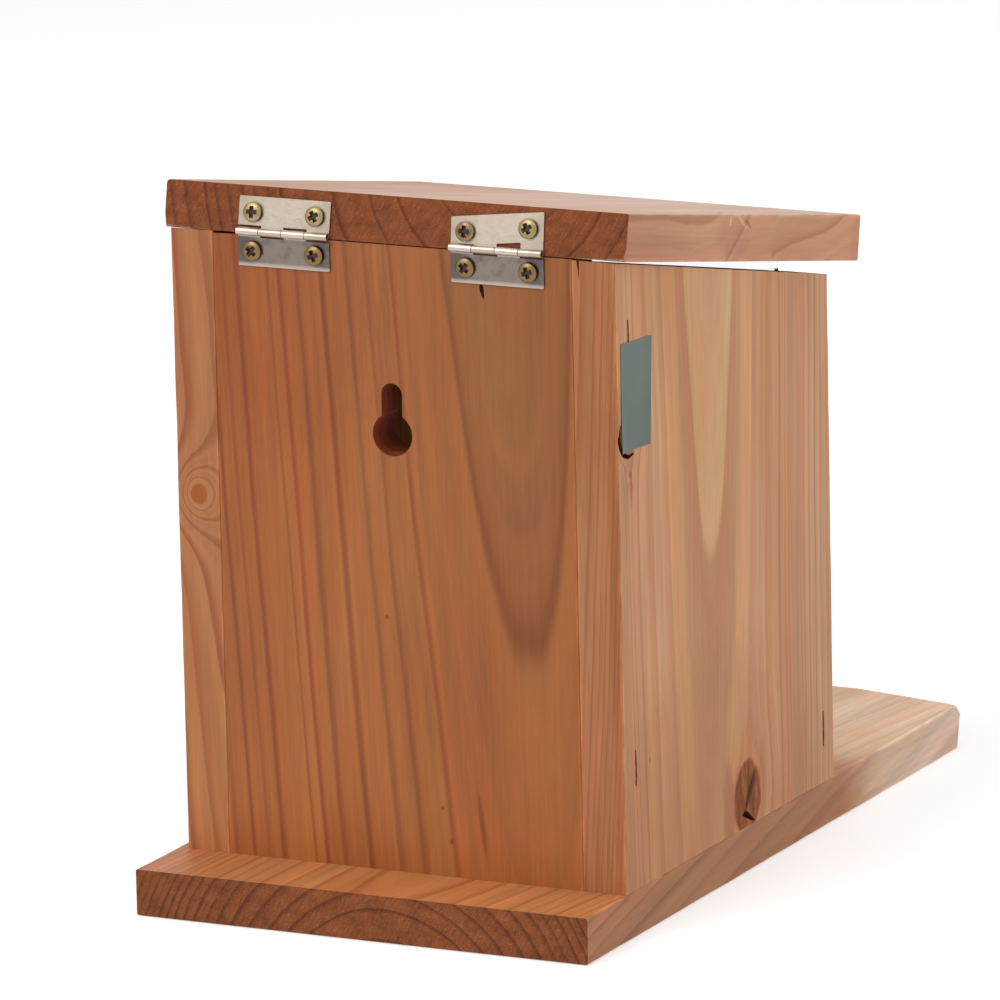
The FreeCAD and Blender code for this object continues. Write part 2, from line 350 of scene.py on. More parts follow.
def mark_spot() -> Tree:
    """A soft long spot on a face, such as a vein, a speck or a stain."""
    effect = Effect("mark", Place=ORIGIN, Across=0.0, Along=0.0, Half_Across=1.0, Half_Along=5.0, Lean=0.0)
    bench, (place, middle, height, half_across, half_along, lean) = effect.bench, effect.given
    across, _, along = bench.parts(place)
    end = along - height
    side = across - end.scaled(lean, middle)
    ragged = bench.noise(bench.stretched(place, (0.8, 0.8, 4)))
    size = (side / half_across) ** 2.0 + (end / half_along) ** 2.0 + ragged.scaled(0.8, -0.4)
    return effect.give(Mask=bench.span(size, 1.0, 0.15))


def knot_bend() -> Tree:
    """A branch through a board, which the grain flows round."""
    effect = Effect("knot", Place=ORIGIN, Across=0.0, Along=0.0, Half_Across=5.0, Half_Along=8.0, Ripple=0.0,
                    Decay=1.1, Strength=1.0)
    bench = effect.bench
    place, middle, height, half_across, half_along, ripple, decay, strength = effect.given
    across, depth, along = bench.parts(place)
    side, end = across - middle, along - height
    wide, long, _ = bench.strayed(place, (5, 5, 8), half_across * 0.34)
    square = ((side + wide) / half_across) ** 2.0 + ((end + long) / half_along) ** 2.0
    size = bench.maths("SQRT", square)
    drawn_in = bench.maths("MINIMUM", 1.0, bench.maths("DIVIDE", 1.0, square))
    bent = bench.point(side.scaled(1.0 - drawn_in * strength, middle), depth, along)
    streaky = bench.noise(bench.stretched(place, (1.6, 1.6, 9)), 3.0, 0.6)
    past = bench.maths("MAXIMUM", size - 1.0, 0.0)
    fall = bench.maths("EXPONENT", past * (decay * -1.0))
    return effect.give(("Bent",), Bent=bent, Inside=bench.span(size, 1.05, 0.93),
                       Outline=bench.span(abs(size - 1.0), 0.10, 0.0), Core=bench.span(streaky, 0.36, 0.64),
                       Rise=fall * (ripple * strength), Halo=bench.span(size, 1.55, 1.0))


def arris_wear() -> Tree:
    """The edges along the grain, where handling and planing leave the wood polished and marked."""
    effect = Effect("arris wear", Place=ORIGIN, Half_Across=50.0, Half_Depth=7.0, Width=1.2)
    bench, (place, half_across, half_depth, width) = effect.bench, effect.given
    across, depth, _ = bench.parts(place)
    near_side = bench.span(abs(across), half_across - width, half_across)
    near_face = bench.span(abs(depth), half_depth - width, half_depth)
    patchy = bench.span(bench.noise(bench.stretched(place, (2.5, 2.5, 11)), 3.0), 0.38, 0.62)
    return effect.give(Wear=near_side * near_face * patchy)


def patina() -> Tree:
    """Broad uneven patches, from the oil and from the wood itself, in two independent draws."""
    effect = Effect("patina", Place=ORIGIN, Seed=0.0)
    bench, (place, seed) = effect.bench, effect.given
    lump = bench.noise(bench.stretched(place, (26, 26, 95), seed), 3.0, 0.55, colour=True)
    red, green, _ = bench.parts(lump)
    return effect.give(Warm=bench.span(red, 0.36, 0.66), Pale=bench.span(green, 0.36, 0.66))


@dataclass
class Effects:
    """The shader groups that several materials use, each built once."""

    distance: Tree = field(default_factory=ring_distance)
    tone: Tree = field(default_factory=ring_tone)
    fibre: Tree = field(default_factory=fibre)
    end: Tree = field(default_factory=sawn_end)
    knot: Tree = field(default_factory=knot_bend)
    mark: Tree = field(default_factory=mark_spot)
    wear: Tree = field(default_factory=arris_wear)
    patina: Tree = field(default_factory=patina)


class Surface(Bench):
    """A material under construction, with its Principled BSDF."""

    def __init__(self, name: str) -> None:
        """Makes an empty material of a name."""
        self.material = bpy.data.materials.new(name)
        self.material.use_nodes = True
        self.material.node_tree.nodes.clear()
        super().__init__(self.material.node_tree)
        self.shader = self.add("ShaderNodeBsdfPrincipled")
        self.add("ShaderNodeOutputMaterial", {"Surface": Wire(self, self.shader.outputs[0])})

    def coordinate(self, name: str) -> Wire:
        """One of the Texture Coordinate node's outputs."""
        return self.out("ShaderNodeTexCoord", output=name)

    def place(self) -> Wire:
        """Where a point of the piece lies, in millimetres."""
        return self.vector("SCALE", self.coordinate("Object"), 1 / MM)

    def bump(self, height: Wire, depth_mm: float) -> Wire:
        """A normal from a height of 0 to 1 that stands for a depth in millimetres."""
        return self.out("ShaderNodeBump", {"Height": height, "Distance": depth_mm * MM, "Strength": 1.0})

    def finish(self, given: dict[str, Value]) -> Material:
        """Feeds the shader's inputs by name and returns the material."""
        for name, value in given.items():
            self.feed(self.shader.inputs[name], value)
        return self.material


# ---- wood


@dataclass(frozen=True)
class Knot:
    """A branch seen on a board's face.

    Attributes:
        across, along, half_across, half_along: its middle and half sizes.
        ripple, decay: how far it lifts the rings, and how quickly that fades away from it.
        colour, dark: its wood's two colours.
        fill, outline: how strongly its wood and its bark line show.
        halo: how strongly the wood round it is stained.
    """

    across: float
    along: float
    half_across: float
    half_along: float
    ripple: float = 0.0
    decay: float = 1.1
    colour: Colour = (140, 94, 72)
    dark: Colour = (112, 70, 50)
    fill: float = 0.92
    outline: float = 0.75
    halo: float = 0.5


@dataclass(frozen=True)
class Mark:
    """A soft long spot that tints a board, on its wide faces or on its narrow ones."""

    across: float
    along: float
    half_across: float
    half_along: float
    tone: Tone
    lean: float = 0.0
    narrow: bool = False


@dataclass(frozen=True)
class BoardAxes:
    """A board's own directions, and the middle of its section where its grain starts."""

    origin: Vector
    across: Vector
    depth: Vector
    grain: Vector

    def at(self, across: float, depth: float, along: float) -> Vector:
        """A place in the board, in metres in the row frame."""
        return (self.origin + self.across * across + self.depth * depth + self.grain * along) * MM


def board_axes(origin: Sequence[float], depth: Vector, grain: Vector) -> BoardAxes:
    """Right-handed directions from a board's depth and grain."""
    return BoardAxes(Vector(origin), depth.cross(grain), depth, grain)


OILED = (0.93, 0.85, 0.75)
SAPPY = (1.07, 1.11, 1.17)
REDDER_RING = (1.05, 0.98, 0.93)
GREENER_FIBRE = (0.96, 1.04, 0.96)
RESIN = (1.05, 0.90, 0.78)
POLISHED = (1.30, 1.36, 1.44)
COOL_SAW_MARK = (0.98, 1.08, 1.30)
PAINTED_GLINT = (1.9, 1.9, 2.1)
KNOT_STAIN = (0.96, 0.82, 0.68)
BARK = (0.88, 0.68, 0.62)


@dataclass(frozen=True)
class WoodFinish:
    """How a board was sawn from its log, and its colours.

    Attributes:
        half: half the board's width and depth.
        pith, lean: the log's middle in the board's section, and how it moves along the grain.
        rings: radius of each ring's late edge round the pith.
        zones: early wood's colour at radii from the pith.
        late: how the late wood's colour differs, by channel.
        late_width, slim: how wide a late band may be, in itself and as a share of its radius.
        wander: how far the rings stray from circles.
        peak: where in its count a ring is darkest; lower is softer.
        flip: 1 where the rings are sharp on their inner side instead.
        calm: where along the board the late bands fade out: its start, its finish and its strength.
        streaks: how strongly the fibres show.
        narrow_painted_shading: painted light and shade: how the narrow faces' colour differs, as if they were
            lit more or less than the wide faces.
        end_early, end_late: colours on the sawn ends.
        foot: a gradual change of colour along the board: its start, its finish, its strength and its colour.
        bend: how far the rings sway near one narrow face, at places along the board.
        dull: a place across the board below which its face has no shine.
    """

    name: str
    axes: BoardAxes
    half: Place
    pith: Place
    lean: Place
    rings: tuple[float, ...]
    zones: tuple[tuple[float, Colour], ...]
    late: Tone = (0.66, 0.55, 0.47)
    late_width: float = 3.0
    slim: float = 0.04
    wander: float = 2.0
    peak: float = 0.93
    flip: float = 0.0
    calm: tuple[float, float, float] | None = None
    seed: float = 0.0
    streaks: float = 0.5
    narrow_painted_shading: Tone = (1.0, 1.0, 1.0)
    end_early: Colour = (140, 76, 44)
    end_late: Colour = (86, 42, 26)
    foot: tuple[float, float, float, Colour] | None = None
    bend: tuple[Place, ...] = ()
    dull: float | None = None
    knots: tuple[Knot, ...] = ()
    marks: tuple[Mark, ...] = ()

    def material(self, effects: Effects) -> Material:
        """Builds the board's material.

        Args:
            effects: the shared shader groups.

        Returns:
            The material.
        """
        surface = Surface(self.name)
        turn = Matrix((self.axes.across, self.axes.depth, self.axes.grain))
        given = {"Vector": surface.coordinate("Object"), "Scale": (1 / MM,) * 3, "Rotation": turn.to_euler(),
                 "Location": -(turn @ self.axes.origin)}
        plain = surface.out("ShaderNodeMapping", given)
        normal = surface.coordinate("Normal")
        end = surface.group(effects.end, {"Place": plain, "Normal": normal, "Grain": tuple(self.axes.grain),
                                          "Seed": self.seed})
        across = surface.vector("DOT_PRODUCT", normal, tuple(self.axes.across))
        narrow = surface.span(abs(across), *FACING)
        wide = surface.maths("SUBTRACT", 1.0 - narrow, end["End"], clamp=True)
        place, rise, knots = self._past_knots(surface, effects, plain, wide)
        given = {"Place": place, "Pith Across": self.pith[0], "Pith Depth": self.pith[1],
                 "Lean Across": self.lean[0], "Lean Depth": self.lean[1], "Wander": self.wander,
                 "Seed": self.seed}
        radius = surface.group(effects.distance, given)["Radius"]
        if rise is not None:
            radius = radius + rise
        if self.bend:
            radius = radius + self._sway(surface, plain)
        share = radius / self.rings[-1]
        tone = surface.group(effects.tone, {"Ring": self._ring_number(surface, share), "Peak": self.peak,
                                            "Flip": self.flip, "Seed": self.seed})
        grain = surface.group(effects.fibre, {"Place": place, "Radius": radius, "Seed": self.seed})
        patch = surface.group(effects.patina, {"Place": place, "Seed": self.seed})
        wood = self._side_wood(surface, share, tone, grain, patch, plain)
        # painted light and shade: the narrow faces are tinted lighter or darker than the wide ones
        wood = surface.tint(narrow, wood, self.narrow_painted_shading)
        for knot, mask in zip(self.knots, knots):
            wood = self._knotted(surface, wood, knot, mask, wide)
        for mark in self.marks:
            wood = self._marked(surface, effects, wood, mark, plain, narrow if mark.narrow else wide)
        wood = surface.blend(end["End"], wood, self._sawn_wood(surface, tone, end))
        given = {"Place": plain, "Half Across": self.half[0], "Half Depth": self.half[1]}
        wood = surface.tint(surface.group(effects.wear, given)["Wear"], wood, POLISHED)
        side_height = tone["Dark"].scaled(0.5, grain["Height"] * 0.5)
        height = side_height * (1.0 - end["End"]) + end["Height"] * (end["End"] * 2.4)
        return surface.finish({"Base Color": wood, "Roughness": grain["Height"].scaled(0.16, 0.42),
                               "Specular IOR Level": self._gloss(surface, plain, end, knots),
                               "Normal": surface.bump(height, 0.09)})

    def _past_knots(self, surface: Surface, effects: Effects, place: Wire,
                    wide: Wire) -> tuple[Wire, Wire | None, list[dict[str, Wire]]]:
        """The place bent round each knot, how far the knots lift the rings, and each knot's masks."""
        rise, masks = None, []
        for knot in self.knots:
            given = {"Place": place, "Across": knot.across, "Along": knot.along,
                     "Half Across": knot.half_across, "Half Along": knot.half_along, "Ripple": knot.ripple,
                     "Decay": knot.decay, "Strength": wide}
            mask = surface.group(effects.knot, given)
            place = mask["Bent"]
            rise = mask["Rise"] if rise is None else rise + mask["Rise"]
            masks.append(mask)
        return place, rise, masks

    def _gloss(self, surface: Surface, plain: Wire, end: dict[str, Wire],
               knots: list[dict[str, Wire]]) -> Wire:
        """The wood's shine, less on the sawn ends, in the knots and on a dull part of the face."""
        gloss = surface.span(end["End"], 0.0, 1.0, 0.35, 0.1)
        if self.dull is not None:
            gloss = gloss * surface.maths("GREATER_THAN", surface.parts(plain)[0], self.dull)
        for mask in knots:
            gloss = gloss * mask["Inside"].scaled(-0.8, 1.0)
        return gloss

    def _curve(self, surface: Surface, value: Wire, points: Sequence[Place]) -> Wire:
        """A Float Curve node through straight-line points from 0 to 1."""
        node = surface.add("ShaderNodeFloatCurve", {"Value": value})
        line = node.mapping.curves[0].points
        line[0].location, line[1].location = points[0], points[-1]
        for x, y in points[1:-1]:
            line.new(x, y)
        for point in line:
            point.handle_type = "VECTOR"
        node.mapping.update()
        return Wire(surface, node.outputs[0])

    def _ring_number(self, surface: Surface, share: Wire) -> Wire:
        """The ring's number, counted from the pith, at a share of the outermost radius."""
        count, points, inner = len(self.rings), [(0.0, 0.0)], 0.0
        for number, radius in enumerate(self.rings):
            late = min(self.late_width, 0.48 * (radius - inner), self.slim * radius)
            points.append(((radius - late) / self.rings[-1], (number + LATE_START) / count))
            points.append((radius / self.rings[-1], (number + 1) / count))
            inner = radius
        return self._curve(surface, share, points) * float(count)

    def _sway(self, surface: Surface, plain: Wire) -> Wire:
        """How far the rings sway at a place, most on the narrow face on the positive side."""
        across, _, along = surface.parts(plain)
        start, finish = self.bend[0][0], self.bend[-1][0]
        most = max(abs(shift) for _, shift in self.bend)
        points = [((w - start) / (finish - start), 0.5 + 0.5 * shift / most) for w, shift in self.bend]
        share = surface.span(along, start, finish, smooth=False)
        near_side = surface.span(across, 0.55 * self.half[0], self.half[0])
        return self._curve(surface, share, points).scaled(2 * most, -most) * near_side

    def _side_wood(self, surface: Surface, share: Wire, tone: dict[str, Wire], grain: dict[str, Wire],
                   patch: dict[str, Wire], plain: Wire) -> Wire:
        """Colour along the grain, from the rings, the fibres and broad patches."""
        ramp = surface.add("ShaderNodeValToRGB", {0: share})
        stops = ramp.color_ramp.elements
        for index, (radius, colour) in enumerate(self.zones):
            stop = stops[index] if index < 2 else stops.new(radius / self.rings[-1])
            stop.position = radius / self.rings[-1]
            stop.color = linear(colour)
        early = Wire(surface, ramp.outputs[0])
        along = surface.parts(plain)[2]
        # a colour change along the board: the wood's own tone on most boards, painted light at the base
        # board's front
        if self.foot:
            start, finish, strength, colour = self.foot
            early = surface.blend(surface.span(along, start, finish, strength, 0.0), early, linear(colour))
        for amount, shift in ((patch["Warm"], OILED), (patch["Pale"], SAPPY), (tone["Shade"], REDDER_RING),
                              (grain["Hue"], GREENER_FIBRE)):
            early = surface.tint(amount, early, shift)
        late = surface.tint(tone["Tint"], surface.tint(1.0, early, self.late), RESIN)
        dark = tone["Dark"]
        if self.calm:
            start, finish, strength = self.calm
            dark = dark * surface.span(along, start, finish, 1.0 - strength, 1.0)
        wood = surface.blend(dark, early, late)
        return surface.vector("SCALE", wood, grain["Streak"].scaled(self.streaks, 1.0))

    def _sawn_wood(self, surface: Surface, tone: dict[str, Wire], end: dict[str, Wire]) -> Wire:
        """Colour across the grain: thin ring lines, the speckle of open fibres and painted glints."""
        pale = surface.tint(end["Hue"], linear(self.end_early), COOL_SAW_MARK)
        sawn = surface.blend(tone["Dark"] * 0.78, pale, linear(self.end_late))
        lift = surface.span(end["Speckle"], 0.40, 0.80, 0.45, 1.55, smooth=False)
        # painted highlight: bright glints scattered over the sawn ends
        return surface.tint(end["Spark"] * 0.6, surface.vector("SCALE", sawn, lift), PAINTED_GLINT)

    def _knotted(self, surface: Surface, wood: Wire, knot: Knot, mask: dict[str, Wire], wide: Wire) -> Wire:
        """The wood with one knot's stain, body and bark line on its wide faces."""
        wood = surface.tint(mask["Halo"] * knot.halo * wide, wood, KNOT_STAIN)
        body = surface.blend(mask["Core"], linear(knot.dark), linear(knot.colour))
        wood = surface.blend(mask["Inside"] * knot.fill * wide, wood, body)
        return surface.blend(mask["Outline"] * knot.outline * wide, wood, linear(times(knot.colour, BARK)))

    def _marked(self, surface: Surface, effects: Effects, wood: Wire, mark: Mark, plain: Wire,
                face: Wire) -> Wire:
        """The wood with one soft spot on it."""
        place = plain
        if mark.narrow:
            _, depth, along = surface.parts(plain)
            place = surface.point(depth, 0.0, along)
        given = {"Place": place, "Across": mark.across, "Along": mark.along, "Half Across": mark.half_across,
                 "Half Along": mark.half_along, "Lean": mark.lean}
        return surface.tint(surface.group(effects.mark, given)["Mask"] * face, wood, mark.tone)


@dataclass(frozen=True)
class MottledFinish:
    """A surface whose colour, roughness and height follow one soft noise.

    Attributes:
        low, high: its colours where the noise is low and high.
        lumps, detail, ragged: the noise's sizes and character.
        reach: the values of the noise that show the two colours in full.
        rough: what the noise adds to the roughness, and its least value.
        metal: how metallic it is where the noise is low and high.
        relief: the depth of its bumps.
        settings: the shader's other inputs.
    """

    name: str
    low: Colour
    high: Colour
    lumps: Tone = (7.0, 0.9, 7.0)
    detail: float = 3.0
    ragged: float = 0.6
    reach: Place | None = (0.35, 0.65)
    rough: Place = (0.2, 0.6)
    metal: Place | None = None
    relief: float = 0.15
    settings: dict[str, float] = field(default_factory=dict)

    def material(self) -> Material:
        """Builds the finish."""
        surface = Surface(self.name)
        value = surface.noise(surface.stretched(surface.place(), self.lumps), self.detail, self.ragged)
        share = surface.span(value, *self.reach) if self.reach else value
        given = {"Base Color": surface.blend(share, linear(self.low), linear(self.high)),
                 "Roughness": value.scaled(*self.rough), **self.settings}
        if self.metal:
            given["Metallic"] = surface.span(value, 0.3, 0.7, *self.metal)
        if self.relief:
            given["Normal"] = surface.bump(value, self.relief)
        return surface.finish(given)


# ---- meshes


def make_object(name: str, mesh: Mesh, materials: Iterable[Material]) -> Piece:
    """Links a mesh as an object at the origin."""
    piece = bpy.data.objects.new(name, mesh)
    bpy.context.scene.collection.objects.link(piece)
    for material in materials:
        mesh.materials.append(material)
    return piece


def mesh_from(name: str, points: Sequence[Vector], faces: Sequence[Sequence[int]]) -> Mesh:
    """A closed mesh with its faces turned outwards."""
    mesh = bpy.data.meshes.new(name)
    mesh.from_pydata([tuple(p) for p in points], [], faces)
    outward(mesh)
    return mesh


def outward(mesh: Mesh) -> None:
    """Merges doubles and turns a closed mesh's faces outwards."""
    shape = bmesh.new()
    shape.from_mesh(mesh)
    bmesh.ops.remove_doubles(shape, verts=shape.verts, dist=1e-7)
    bmesh.ops.recalc_face_normals(shape, faces=shape.faces)
    shape.to_mesh(mesh)
    shape.free()


def settle(piece: Piece) -> None:
    """Turns what a piece's modifiers make into its own mesh."""
    bpy.context.view_layer.update()
    graph = bpy.context.evaluated_depsgraph_get()
    mesh = bpy.data.meshes.new_from_object(piece.evaluated_get(graph), depsgraph=graph)
    piece.modifiers.clear()
    piece.data = mesh


def shade(piece: Piece, sharp_degrees: float = 38.0) -> None:
    """Smooth shading with flat faces kept flat and edges over an angle kept sharp."""
    for polygon in piece.data.polygons:
        polygon.use_smooth = True
    piece.data.set_sharp_from_angle(angle=math.radians(sharp_degrees))
    weigh = piece.modifiers.new("flat faces", "WEIGHTED_NORMAL")
    weigh.keep_sharp = True
    settle(piece)


def cut_out(piece: Piece, cutters: Sequence[Piece]) -> None:
    """Cuts shapes out of a piece; the cut faces keep the cutters' finish."""
    for cutter in cutters:
        cut = piece.modifiers.new("cut", "BOOLEAN")
        cut.operation, cut.solver, cut.object = "DIFFERENCE", "EXACT", cutter
        cut.material_mode = "TRANSFER"
        settle(piece)
        bpy.data.objects.remove(cutter)


def register(piece: Piece, body: Body, slot: Slot | None, *nodes: str) -> Piece:
    """Puts a finished piece on its body, in place of the nodes that it stands for."""
    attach(piece, body.value)
    if nodes:
        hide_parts(*nodes)
    LOG.info("%s: %d faces on %s", piece.name, len(piece.data.polygons), body.value)
    return piece


@dataclass
class Plank:
    """A planed board, lofted along its grain from sections with eased, slightly worn arrises.

    Attributes:
        low_end, high_end: where the board ends along its grain, for a place in its section.
        columns: places across its width that get their own line of points.
        arrises: how far each edge along the grain is eased: two above, two below, each pair from the
            negative side across.
        end_chips: how far the sawn ends' edges are broken.
    """

    name: str
    axes: BoardAxes
    half: Place
    low_end: Callable[[float, float], float]
    high_end: Callable[[float, float], float]
    columns: tuple[float, ...] = ()
    arrises: tuple[float, ...] = (0.7, 0.7, 0.7, 0.7)
    wear: float = 0.45
    end_chips: float = 0.14
    step: float = 3.5
    seed: float = 0.0
    foot_bevel: float = 0.0

    def arris_radius(self, corner: int, along: float) -> float:
        """How far an arris is eased at a place along it, with small dents."""
        here = Vector((along / 16, self.seed + 7 * corner, 0.3))
        there = Vector((along / 3.1, self.seed + 5 * corner, 9.1))
        dent = max(0.0, noise.noise(there) - 0.34) * 2.4
        return max(0.25, self.arrises[corner] * (0.85 + self.wear * noise.noise(here) + self.wear * dent))

    def rows(self, share: float) -> tuple[list[Place], list[Place]]:
        """The section's upper and lower points from one side to the other, at a share of its length."""
        wide, deep = self.half
        span = self.high_end(0, 0) - self.low_end(0, 0)
        along = self.low_end(0, 0) + share * span
        turns = [math.radians(30 * step) for step in range(4)]
        rows = []
        for sign in (1, -1):
            corner = 0 if sign > 0 else 2
            left, right = self.arris_radius(corner, along), self.arris_radius(corner + 1, along)
            row = [(-wide + left - left * math.cos(a), sign * (deep - left + left * math.sin(a)))
                   for a in turns]
            row += [(u, sign * deep) for u in sorted(self.columns)]
            row += [(wide - right + right * math.cos(a), sign * (deep - right + right * math.sin(a)))
                    for a in reversed(turns)]
            rows.append(row)
        return rows[0], rows[1]

    def build(self, material: Material) -> Piece:
        """Builds the board.

        Args:
            material: its finish.

        Returns:
            The board as an object, before anything is cut from it.
        """
        length = self.high_end(0, 0) - self.low_end(0, 0)
        stations = max(2, round(length / self.step))
        shape = bmesh.new()
        loops = []
        for station in range(stations + 1):
            share = station / stations
            upper, lower = self.rows(share)
            chip = {0: 1, stations: -1}.get(station, 0) * self.end_chips
            loop = []
            for u, v in upper + lower[::-1]:
                low, high = self.low_end(u, v), self.high_end(u, v)
                broken = max(0.0, noise.noise(Vector((u / 1.9, v / 1.9, self.seed + share))) + 0.1)
                loop.append(shape.verts.new(self.axes.at(u, v, low + share * (high - low) + chip * broken)))
            loops.append(loop)
        count = len(loops[0])
        for first, second in zip(loops, loops[1:]):
            for i in range(count):
                j = (i + 1) % count
                shape.faces.new((first[i], first[j], second[j], second[i]))
        for loop in (loops[0], loops[-1]):
            for i in range(count // 2 - 1):
                shape.faces.new((loop[i], loop[i + 1], loop[count - 2 - i], loop[count - 1 - i]))
        if self.foot_bevel:
            foot = loops[-1][count // 2:]
            edges = [shape.edges.get((a, b)) for a, b in zip(foot, foot[1:])]
            bmesh.ops.bevel(shape, geom=[e for e in edges if e], offset=self.foot_bevel * MM, segments=1,
                            profile=0.5, affect="EDGES", clamp_overlap=False)
        bmesh.ops.recalc_face_normals(shape, faces=shape.faces)
        mesh = bpy.data.meshes.new(self.name)
        shape.to_mesh(mesh)
        shape.free()
        return make_object(self.name, mesh, [material])

    def gouge(self, outline: Sequence[Place], depth: float, material: Material, side: int = 1,
              narrow: float = 1.0, edge: bool = False) -> Piece:
        """A cutter for a wide face, or for a narrow one.

        Args:
            outline: the cut's outline on the face, across or through, and along.
            depth: how deep it goes.
            material: the finish of its walls.
            side: 1 for the face on the axis's positive side, -1 for the other.
            narrow: the floor's share of the outline's size.
            edge: whether the face is a narrow one.

        Returns:
            The cutter.
        """
        middle = Vector([sum(p[i] for p in outline) / len(outline) for i in (0, 1)])
        points = []
        for height, share in ((0.6, 1.0), (-depth, narrow)):
            level = side * (self.half[0 if edge else 1] + height)
            for place in outline:
                flat = middle + (Vector(place) - middle) * share
                points.append(self.axes.at(level, *flat) if edge else self.axes.at(flat.x, level, flat.y))
        count = len(outline)
        faces = [(i, (i + 1) % count, count + (i + 1) % count, count + i) for i in range(count)]
        faces += [tuple(range(count)), tuple(range(count, 2 * count))]
        return make_object("cutter", mesh_from("cutter", points, faces), [material])


def crack(spine: Sequence[Place], width: float, seed: float, blunt: float = 0.12) -> list[Place]:
    """The outline of a crack that follows a line and thins towards its ends.

    Args:
        spine: points along the crack.
        width: its full width in the middle.
        seed: which draw of its ragged edge.
        blunt: the ends' share of the width.

    Returns:
        The outline, once round.
    """
    sides = ([], [])
    steps = 5 * (len(spine) - 1)
    for step in range(steps + 1):
        t = step / steps * (len(spine) - 1)
        i = min(int(t), len(spine) - 2)
        a, b = Vector(spine[i]), Vector(spine[i + 1])
        here = a.lerp(b, t - i)
        off = Vector((-(b - a).y, (b - a).x)).normalized()
        swell = blunt + (1 - blunt) * math.sin(math.pi * step / steps) ** 0.7
        for side, line in zip((1, -1), sides):
            ragged = 1 + 0.35 * noise.noise(Vector((step * 0.9, side * 3.0, seed)))
            line.append(tuple(here + off * (side * width / 2 * swell * ragged)))
    return sides[0] + sides[1][::-1]


def arc(middle: Place, radii: Place, start: float, end: float, count: int) -> list[Place]:
    """Points round an ellipse from one angle to another, in degrees."""
    turns = [math.radians(start + (end - start) * i / (count - 1)) for i in range(count)]
    return [(middle[0] + radii[0] * math.cos(a), middle[1] + radii[1] * math.sin(a)) for a in turns]


# ---- finishes


class Cuts:
    """The finishes of everything that is cut into the wood. The keyhole, crack and knot hollow walls are dark
    end grain with painted shade of the hole in their colour.
    """

    def __init__(self) -> None:
        """Builds the finishes."""
        # partly painted shade: these walls are darker than end grain alone, for the shade inside the holes
        self.keyhole = MottledFinish("keyhole wall", (108, 43, 15), (163, 68, 24)).material()
        self.crack = MottledFinish("crack wall", (46, 22, 13), (78, 40, 24)).material()
        self.hollow = MottledFinish("knot hollow wall", (44, 14, 3), (84, 33, 11)).material()
        self.slit = MottledFinish("staple slit wall", (136, 78, 54), (178, 108, 76)).material()
        self.groove = MottledFinish("sawn groove", (120, 70, 44), (150, 92, 60)).material()


# ---- boards

STAPLE_SLIT, SLIT_WIDTH, SLIT_DEPTH = 11.4, 1.5, 0.45


def slit(middle: Place, along_grain: bool, seed: float) -> list[Place]:
    """The outline that a staple's crown leaves in a face."""
    half = STAPLE_SLIT / 2
    ends = ((0, -half), (0, half)) if along_grain else ((-half, 0), (half, 0))
    spine = [tuple(middle[i] + ends[0][i] * s + ends[1][i] * (1 - s) for i in (0, 1)) for s in (0, 0.5, 1)]
    return crack(spine, SLIT_WIDTH, seed, blunt=0.6)


